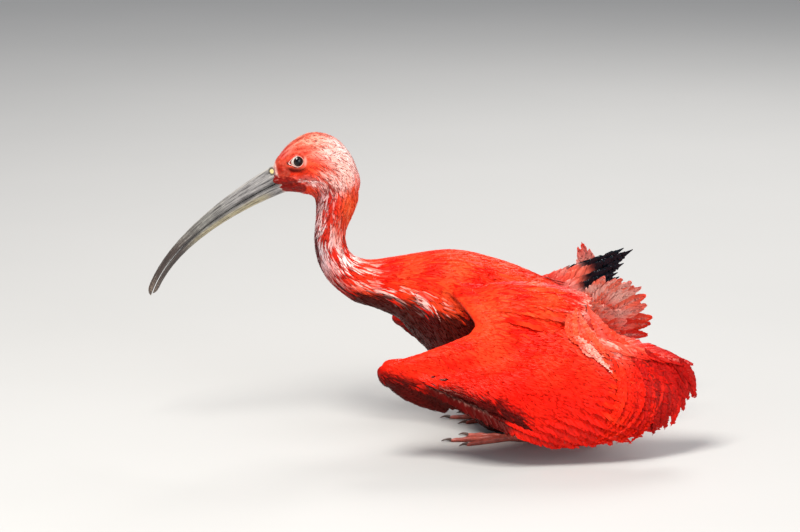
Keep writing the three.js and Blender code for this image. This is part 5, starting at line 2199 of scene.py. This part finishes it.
@dataclass
class Tail:
    """The short fanned tail, turned on its side: twelve feathers with coverts above and below."""

    markings: Markings
    root: Triple = (58, 0, 84)
    rise: float = 30
    roll: float = 60
    spread: float = 33
    length: float = 80
    stub_length: float = 41
    stub_half: Pair = (24, 20)
    stub_depth: Pair = (18, 6)
    pairs: int = 6
    covert = Feather(12, 6, 0, 0, WET_SHAPE, 16, 0.5, 3, strand=4.0, both=True)
    # Rows of coverts: their number, their height above the tail, their spread and their reach.
    covert_rows: tuple[tuple[float, ...], ...] = (
        (13, 6.5, 33, 62), (11, 5.4, 31, 50), (9, -5.5, 30, 60), (8, -5.0, 26, 48)
    )

    def __post_init__(self) -> None:
        rise, roll = math.radians(self.rise), math.radians(self.roll)
        self.axis = np.array([math.cos(rise), 0, math.sin(rise)])
        self.left = np.array(Matrix.Rotation(-roll, 3, Vector(self.axis)) @ Vector((0, -1, 0)))
        above = -np.cross(self.left, self.axis)
        self.above = above if above[2] >= 0 else -above

    def stub(self) -> Thing:
        """Models the flesh that carries the tail."""
        turns = np.linspace(0, 2 * math.pi, 20, endpoint=False)
        rings = []
        for t in np.linspace(0, 1, 7):
            centre = np.array(self.root) + self.axis * self.stub_length * t * 0.94
            half, depth = (mix(*ends, t) - 1.5 for ends in (self.stub_half, self.stub_depth))
            across = np.outer(np.cos(turns) * half, self.left)
            over = np.outer(np.sin(turns) * depth, self.above)
            rings.append(centre + across + over)
        return lofted("tail_root", rings)

    def feather(
        self, webs: Webs, turn: float, start: float, reach: float, lift: float, kind: Feather
    ) -> None:
        """Adds one feather.

        Args:
            webs: the piece it joins.
            turn: degrees from the tail's middle towards its left edge.
            start: where it leaves the root.
            reach: where it ends.
            lift: how far it lies above the tail's middle plane.
            kind: its build.
        """
        angle = math.radians(turn)
        way = self.axis * math.cos(angle) + self.left * math.sin(angle)
        root = np.array(self.root) + way * start + self.above * lift * 0.6
        tip = np.array(self.root) + way * reach + self.above * lift
        path = arched(root, tip, self.above * 0.03, self.above)
        own = webs.draw.random()

        def tint(along: Array, across: Array) -> Array:
            """Colours it, with a pale shaft."""
            shaft = np.exp(-((across / 0.06) ** 2)) * 0.5
            return dyed(self.markings.along(path, along, own), "FBD3C6", shaft)

        webs.add(path, -np.sign(self.above[1]) * self.above, kind, tint, webs.draw.uniform(0.9, 1.05))

    def build(self, plumage: Material, seed: int) -> Thing:
        """Builds the tail's feathers.

        Args:
            plumage: their finish.
            seed: for its random draws.
        Returns:
            The piece.
        """
        webs = Webs(np.random.default_rng(seed))
        draw = webs.draw
        for edge in (1, -1):
            for k in range(self.pairs):
                turn = edge * (3 + (self.spread - 3) * k / (self.pairs - 1)) + draw.normal(0, 2)
                lift = 1.6 - k * 0.5 + (0.4 if edge > 0 else 0)
                tilt = -edge * 9 + draw.normal(0, 8)
                kind = replace(self.covert, width=18, tilt=tilt, stations=24, ragged=5)
                self.feather(webs, turn, 24, (self.length - k * 0.9) * draw.uniform(0.88, 1.03), lift, kind)
        for count, lift, spread, reach in self.covert_rows:
            for k in range(count):
                turn = -spread + 2 * spread * k / (count - 1) + draw.normal(0, 2.5)
                length = (reach - 0.25 * abs(turn)) * draw.uniform(0.82, 1.08)
                kind = replace(self.covert, tilt=draw.normal(0, 12), width=draw.uniform(9, 14))
                self.feather(webs, turn, 20, length, lift + 0.12 * k, kind)
        return webs.finish("tail_feathers", plumage)


@dataclass
class Eyes:
    """Both eyes with their lids."""

    reach: float = 5.6  # how far out the lids' opening has doubled
    # The lids' rings: how far out each lies, and how far it stands above the eye's front.
    rings: tuple[Pair, ...] = (
        (0.0, -1.3), (0.12, -0.3), (0.4, 0.25), (0.8, 0.2), (1.1, -0.15),
        (1.5, 0.0), (1.9, 0.0), (2.4, -0.5), (3.0, -1.1), (2.9, -2.4),
    )

    def ball(self, side: Side, effects: Effects) -> Thing:
        """Builds an eye's ball, with its cornea raised.

        Args:
            side: which eye.
            effects: the shared node groups.
        Returns:
            The ball.
        """
        centre = (EYE.x, side.value * EYE.y, EYE.z)
        select_none()
        bpy.ops.mesh.primitive_uv_sphere_add(
            segments=48, ring_count=32, radius=EYE.radius * MM * 0.985,
            location=Vector(centre) * MM, rotation=(math.pi / 2, 0, 0),
        )
        ball = settle(bpy.context.object, "eyeball_" + side.word)
        points = points_of(ball)
        outward = (points[:, 1] - centre[1]) * side.value > 0
        across = np.linalg.norm(EYE.offset(points), axis=1)
        points[:, 1] += side.value * 0.55 * np.exp(-((across / 3.2) ** 2)) * outward
        set_points(ball, points)
        finish = EyeFinish("eye_" + side.word, 0.08, 0.0, 0.03, 0.3, middle=(EYE.x + 1.2, EYE.z))
        ball.data.materials.append(finish.make(effects))
        return ball

    def lids(self, side: Side, material: Material) -> Thing:
        """Models an eye's lids: a soft rim round an almond opening, creased above and below.

        Args:
            side: which eye.
            material: the lids' finish.
        Returns:
            The lids.
        """
        opening = self.opening(np.linspace(0, 2 * math.pi, 64, endpoint=False))
        rings = []
        for out, height in self.rings:
            flat = opening * (1 + out / self.reach)
            y = EYE.lid_y + 1.35 + height - ((np.linalg.norm(flat, axis=1) / 14.0) ** 2) * 5.0
            rings.append(np.stack([EYE.x + flat[:, 0], side.value * y, EYE.z + flat[:, 1]], axis=1))
        grid = np.arange(len(rings) * len(opening)).reshape(len(rings), -1)
        quads = ring_quads(grid, np.roll(grid, -1, 0))
        lids = mesh_of("lids_" + side.word, np.concatenate(rings), quads, np.zeros((0, 3), int))
        with editing(lids):
            bpy.ops.mesh.normals_make_consistent(inside=False)
        apply_modifier(lids, "SUBSURF", levels=1, render_levels=1)
        set_tint(lids, self.lid_colours(points_of(lids)))
        lids.data.materials.append(material)
        return settle(lids, "lids_" + side.word, 80)

    @staticmethod
    def opening(turns: Array) -> Array:
        """The lids' opening: pointed towards the bill and low there, rounder behind."""
        x, z = np.cos(turns), np.sin(turns)
        front = np.clip(-x, 0, 1)
        return np.stack([x * (4.9 + 1.9 * front**2), z * 4.5 * (1 - 0.4 * front**2) - 1.5 * front**3], axis=1)

    def lid_colours(self, points: Array) -> Array:
        """Colours the lids: a thin pale rim, white in the front corner, red above and dark maroon below as
        painted shade in the fold.

        Args:
            points: the lids' points in millimetres.
        Returns:
            A colour for each.
        """
        flat = EYE.offset(points)
        edge = self.opening(np.linspace(-math.pi, math.pi, 200))
        turned, far = np.arctan2(edge[:, 1], edge[:, 0]), np.linalg.norm(edge, axis=1)
        order = np.argsort(turned)
        radius = np.interp(np.arctan2(flat[:, 1], flat[:, 0]), turned[order], far[order])
        out = (np.linalg.norm(flat, axis=1) / radius - 1)[:, None] * self.reach
        # darker towards the bottom: painted shade in the fold under the eye
        outer = mix(srgb("C23A2A"), srgb("480706"), smoothstep(1.0, -2.5, flat[:, 1:]))
        front = (1 - smoothstep(-6.2, -4.6, flat[:, :1])) * (1 - smoothstep(0.3, 0.7, out))
        return dyed(mix(srgb("E9B4A8"), outer, smoothstep(0.45, 0.9, out)), "EFDCD6", front)


@dataclass
class Bill:
    """The long down-curved bill: two horn halves that meet along the mouth."""

    length: float = 158
    base: Pair = (-190, 225.6)
    slope: float = 26
    turn: float = 24
    hook: float = 22
    base_depth: float = 24
    tip_depth: float = 7.5
    taper: float = 1.6
    base_half: float = 8.4
    tip_half: float = 2.7
    upper_share: float = 0.56
    mouth_gap: float = 0.7
    steps: int = 800
    sections: int = 44
    sides: int = 28
    root: float = 4.0  # how far it is sunk into the head

    def pitch(self, f: Array) -> Array:
        """Degrees below level at a share of its length."""
        return self.slope + self.turn * f + self.hook * f**4

    def line(self) -> tuple[Array, Array]:
        """Walks along the bill in small steps, and gives shares of its length with their places."""
        shares = np.linspace(0, 1, self.steps + 1)
        angle = np.radians(self.pitch((shares[1:] + shares[:-1]) / 2))
        walked = (np.concatenate([[0], np.cumsum(way)]) for way in (np.cos(angle), np.sin(angle)))
        step = self.length / self.steps
        return shares, np.stack([start - far * step for start, far in zip(self.base, walked)], axis=1)

    def half(self, upper: bool, material: Material) -> Thing:
        """Models the upper or lower half.

        Args:
            upper: which half.
            material: its horn.
        Returns:
            The finished half.
        """
        part, reach, share = (1, 1.0, self.upper_share) if upper else (-1, 0.985, 1 - self.upper_share)
        shares, line = self.line()
        fractions = [reach * (1 - (1 - i / (self.sections - 1)) ** 1.25) for i in range(self.sections)]
        rings = []
        for f in fractions:
            x, z = (np.interp(f, shares, line[:, k]) for k in (0, 1))
            angle = math.radians(self.pitch(f))
            depth = self.tip_depth + (self.base_depth - self.tip_depth) * (1 - f) ** self.taper
            blunt = math.sqrt(max(0.02, 1 - max(0, (f / reach - 0.95) / 0.05) ** 2))
            half = blunt * (self.tip_half + (self.base_half - self.tip_half) * (1 - f) ** 1.8)
            up = np.array([-math.sin(angle), 0, math.cos(angle)])
            middle = np.array([x, 0, z]) + up * (depth * (0.5 - self.upper_share) + part * self.mouth_gap / 2)
            rings.append(self.ring(middle, up, half, blunt * depth * share, part, f))
        first = rings[0] + np.array([self.root, 0, self.root * math.tan(math.radians(self.slope))])
        thing = lofted("bill", [first, *rings])
        count = self.sides + 1
        along = np.concatenate([np.repeat([0, *fractions], count), [0, reach]])
        around = np.concatenate([np.tile(np.linspace(0, 1, count), len(fractions) + 1), [0.5, 0.5]])
        set_tint(thing, self.colours(upper, along, around, points_of(thing)))
        set_map(thing, UV_VANE, np.stack([around, along], axis=1))
        set_map(thing, UV_BAKE, np.stack([0.02 + around * 0.9, 0.02 + along * 0.9], axis=1))
        thing.data.materials.append(material)
        return settle(thing, "bill_horn_" + ("upper" if upper else "lower"), 50)

    def ring(self, middle: Array, up: Array, half: float, depth: float, part: int, f: float) -> Array:
        """Places one ring: a half round with a ridge on top and a furrow along each side.

        Args:
            middle: the ring's middle on the mouth's line.
            up: the way that is up for the bill there.
            half: half its width.
            depth: how deep this half of the bill is.
            part: 1 for the upper half, -1 for the lower one.
            f: the share of the bill's length.
        Returns:
            The ring's places.
        """
        turns = np.linspace(0, math.pi, self.sides + 1)
        sine, cosine = np.sin(turns), np.cos(turns)
        dip = np.exp(-(((np.abs(turns - math.pi / 2) - 0.72) / 0.13) ** 2))
        furrow = 1 - (0.13 if part > 0 else 0.07) * dip
        ridge = 1 + 0.05 * np.exp(-(((turns - math.pi / 2) / 0.2) ** 2))
        waves = 1 + 0.012 * math.sin(f * 190) * smoothstep(0.35, 0.7, f)
        wide = half * cosine * furrow * waves
        tall = depth * sine**0.9 * furrow * ridge * waves
        return middle + np.outer(wide, [0, 1, 0]) + np.outer(tall * part, up)

    def colours(self, upper: bool, along: Array, around: Array, points: Array) -> Array:
        """Colours the horn: slate, then brown, with a pale ridge above and a cream band below.

        Args:
            upper: which half.
            along: each point's share of the length.
            around: each point's share of the way round.
            points: the points in millimetres.
        Returns:
            A colour for each.
        """
        base = mix(srgb("8A8786"), srgb("75746F"), smoothstep(0.2, 0.5, along)[:, None])
        base = dyed(base, "382D26", smoothstep(0.45, 0.75, along))
        base = dyed(base, "8C7766", smoothstep(0.86, 1.0, along))
        base = dyed(base, "E3AFA0", 1 - smoothstep(0.0, 0.03, along))
        middle = np.abs(around - 0.5)
        if upper:
            ridge = (1 - smoothstep(0.04, 0.12, middle)) * (1 - smoothstep(0.55, 0.8, along))
            base = dyed(base, "BDB9B2", ridge * 0.75)
        else:
            band = smoothstep(0.06, 0.16, along) * (1 - smoothstep(0.5, 0.7, along))
            base = dyed(base, "C9BC8F", band * (1 - smoothstep(0.3, 0.46, middle)) * 0.8)
        # darker along the mouth where the two halves meet: painted shade in the gap
        rim = smoothstep(0.44, 0.5, middle)[:, None]
        return base * (1 - 0.55 * rim) * (0.92 + 0.08 * ripple(points, 12, 51)[:, None])


@dataclass
class Legs:
    """Both shanks and feet, folded along under the bird."""

    ball: Pair = (8, -36)
    toes: tuple[Pair, ...] = ((40, -22), (52, 4), (42, 26), (22, 168))  # length and turn of each
    claw_length: float = 8
    # The shank from its heel to the foot: each section's middle and radius.
    shank: tuple[tuple[float, ...], ...] = (
        (89.0, -37.0, 5.6, 4.4), (84, -37, 5.2, 5.0), (76, -37, 4.4, 4.1), (66, -36.9, 4.1, 3.7),
        (50, -36.7, 3.9, 3.5), (36, -36.5, 3.8, 3.4), (22, -36.3, 3.8, 3.4), (12, -36.1, 3.9, 3.5),
    )

    def build(self, side: Side, skin: Material, horn: Material) -> list[Thing]:
        """Builds one leg's shank, toes and claws.

        Args:
            side: which leg.
            skin: the scaly skin's finish.
            horn: the claws' finish.
        Returns:
            The shank, the toes and the claws.
        """
        sign = -side.value
        rings = [Section((x, y * sign, z), r * 0.9, r, min(r, z - 0.1)) for x, y, z, r in self.shank]
        shank = sweep("shank", rings, 16)
        apply_modifier(shank, "SUBSURF", levels=2, render_levels=2)
        toes, claws = [], []
        for length, turn in self.toes:
            toes.append(self.toe(length, turn, sign))
            claws.append(self.claw(length, turn, sign))
        made = {"shank_skin": shank, "toes": joined(toes), "claws": joined(claws)}
        for name, thing in made.items():
            thing.data.materials.append(horn if name == "claws" else skin)
            settle(thing, f"{name}_{side.word}", 60)
        return list(made.values())

    def toe(self, length: float, turn: float, sign: int) -> Thing:
        """Models one toe, swollen at its joints.

        Args:
            length: its length.
            turn: degrees from straight ahead.
            sign: -1 or 1, for the side.
        Returns:
            The toe.
        """
        (x0, y0), angle = self.ball, math.radians(turn)
        shares = np.linspace(-0.06, 1, 12)
        rings = []
        for share in shares:
            swell = 1 + 0.16 * math.cos(2 * math.pi * 3 * share)
            radius = (3.2 - 1.4 * max(share, 0)) * swell * (0.6 if share in (shares[0], shares[-1]) else 1)
            x, y = x0 - math.cos(angle) * length * share, y0 - math.sin(angle) * length * share
            rings.append(Section((x, y * sign, radius + 0.05), radius * 1.05, radius, radius, turn * sign))
        toe = sweep("toe", rings, 12)
        apply_modifier(toe, "SUBSURF", levels=1, render_levels=1)
        return toe

    def claw(self, length: float, turn: float, sign: int) -> Thing:
        """Models one curved claw.

        Args:
            length: its toe's length.
            turn: degrees from straight ahead.
            sign: -1 or 1, for the side.
        Returns:
            The claw.
        """
        (x0, y0), angle = self.ball, math.radians(turn)
        rings = []
        for share in np.linspace(0, 1, 7):
            along = length - 1.5 + (self.claw_length + 1.0) * share
            radius = 1.45 * (1 - share) ** 0.7 + 0.22
            height = max(2.0 + 0.9 * math.sin(math.pi * share) - 0.9 * share, radius + 0.1)
            x, y = x0 - math.cos(angle) * along, y0 - math.sin(angle) * along
            rings.append(Section((x, y * sign, height), radius * 0.8, radius, radius, turn * sign))
        return sweep("claw", rings, 10)


@dataclass
class Studio:
    """The pale floor, the soft lights and the camera at the photograph's angle."""

    target: Triple = (-87, 0, 147.7)
    elevation: float = 12
    lens: float = 150
    distance: float = 2900

    def build(self, effects: Effects) -> None:
        """Builds the studio.

        Args:
            effects: the shared node groups.
        """
        select_none()
        bpy.ops.mesh.primitive_plane_add(size=60)
        floor = bpy.context.object
        floor.name = "floor"
        floor.data.materials.append(FloorFinish("floor", 0.85).make(effects))
        world = bpy.data.worlds.new("studio")
        world.use_nodes = True
        sky = world.node_tree.nodes["Background"].inputs
        sky["Color"].default_value, sky["Strength"].default_value = (0.9, 0.93, 1.0, 1), 0.38
        bpy.context.scene.world = world
        self.light("key", (-650, -1150, 2100), 900, 75, (1.0, 0.965, 0.91))
        self.light("fill", (1500, -1700, 700), 1500, 30, (0.97, 0.97, 1.0))
        self.light("rim", (500, 1700, 1700), 900, 26, (1.0, 0.98, 0.95))
        self.camera()
        bpy.context.scene.view_settings.view_transform = "Standard"

    def light(self, name: str, place: Triple, size: float, watts: float, colour: Triple) -> None:
        """Adds a square soft light that looks at the bird.

        Args:
            name: the lamp's name.
            place: where it stands.
            size: the length of its edge.
            watts: its power.
            colour: its light.
        """
        spot = Vector(place) * MM
        aim = (Vector(self.target) * MM - spot).to_track_quat("-Z", "Y").to_euler()
        bpy.ops.object.light_add(type="AREA", location=spot, rotation=aim)
        lamp = bpy.context.object
        lamp.name = name
        lamp.data.size, lamp.data.energy, lamp.data.color = size * MM, watts, colour

    def camera(self) -> None:
        """Adds the camera and makes it the scene's own."""
        angle = math.radians(self.elevation)
        target = Vector(self.target) * MM
        place = target + Vector((0, -math.cos(angle), math.sin(angle))) * self.distance * MM
        bpy.ops.object.camera_add(location=place, rotation=(math.pi / 2 - angle, 0, 0))
        camera = bpy.context.object
        camera.data.lens, camera.data.sensor_width = self.lens, 36
        bpy.context.scene.camera = camera


def ride(things: Sequence[Thing]) -> None:
    """Lets pieces ride on the bird."""
    for thing in things:
        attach(thing, "root")


def build_bird(frame: dict, effects: Effects) -> None:
    """Builds every piece of the bird in order.

    Args:
        frame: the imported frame.
        effects: the shared node groups.
    """
    lie = Lie()
    markings = Markings(lie)
    wings = [
        Wing(Side.LEFT, LEFT_WING, markings),
        Wing(Side.RIGHT, RIGHT_WING, markings, secondaries=10, primaries=9, coverts=10, scapulars=5),
    ]
    tail, arms = Tail(markings), ArmLie(wings)
    plumage = PlumageFinish("plumage", 0.42, 0.03, 0.22, 0.18, (1.0, 0.42, 0.32)).make(effects)
    black_tipped = PlumageFinish("black_tipped_plumage", 0.34, 0.05, 0.2, 0.3, (0.8, 0.9, 1.0)).make(effects)
    naked = SkinFinish("skin", 0.44, 0.04, 0.2, 0.18, (1.0, 0.25, 0.2)).make(effects)
    skin = Skin(markings, lie, arms).build(frame, wings, tail, naked)
    ride([skin])
    for number, wing in enumerate(wings):
        made = wing.build(plumage, black_tipped if wing.far else plumage, SEED + number)
        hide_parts(f"wing_{wing.side.word}")
        ride(made)
    ride([Curtain(wings[0]).build(plumage, SEED + 5)])
    tail_feathers = tail.build(plumage, SEED + 9)
    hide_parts("tail")
    ride([tail_feathers])
    ride(Plumage(skin, lie, arms, markings).build(plumage))
    horn = BillFinish("bill_horn", 0.42, 0.2, 0.2)
    for upper in (True, False):
        piece = Bill().half(upper, horn.make(effects))
        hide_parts("bill_upper" if upper else "bill_lower")
        ride([piece])
    eyes = Eyes()
    lids = SkinFinish("lid_skin", 0.38, 0.15, 0.2, 0.4, (1.0, 0.6, 0.5)).make(effects)
    for side in Side:
        ball = eyes.ball(side, effects)
        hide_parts(f"eye_{side.word}")
        ride([ball])
        ride([eyes.lids(side, lids)])
    scaly = SpeckledFinish("leg_skin", 0.45, 0.15, 0.2).make(effects)
    claw_horn = SpeckledFinish(
        "claw_horn", 0.35, 0.2, 0.2, main="3A2A26", second="5E463E", scale=700, stretch=1.0, relief=0.0001
    )
    nail = claw_horn.make(effects)
    for side in Side:
        shank, feet, nails = Legs().build(side, scaly, nail)
        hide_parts(f"shank_{side.word}")
        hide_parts(f"foot_{side.word}")
        ride([shank, feet, nails])


def main() -> None:
    """Builds the bird in its studio."""
    logging.basicConfig(level=logging.INFO, format="%(name)s: %(message)s")
    for thing in list(bpy.data.objects):
        bpy.data.objects.remove(thing)
    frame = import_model()
    effects = Effects()
    Studio().build(effects)
    build_bird(frame, effects)
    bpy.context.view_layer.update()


if __name__ == "__main__":
    main()
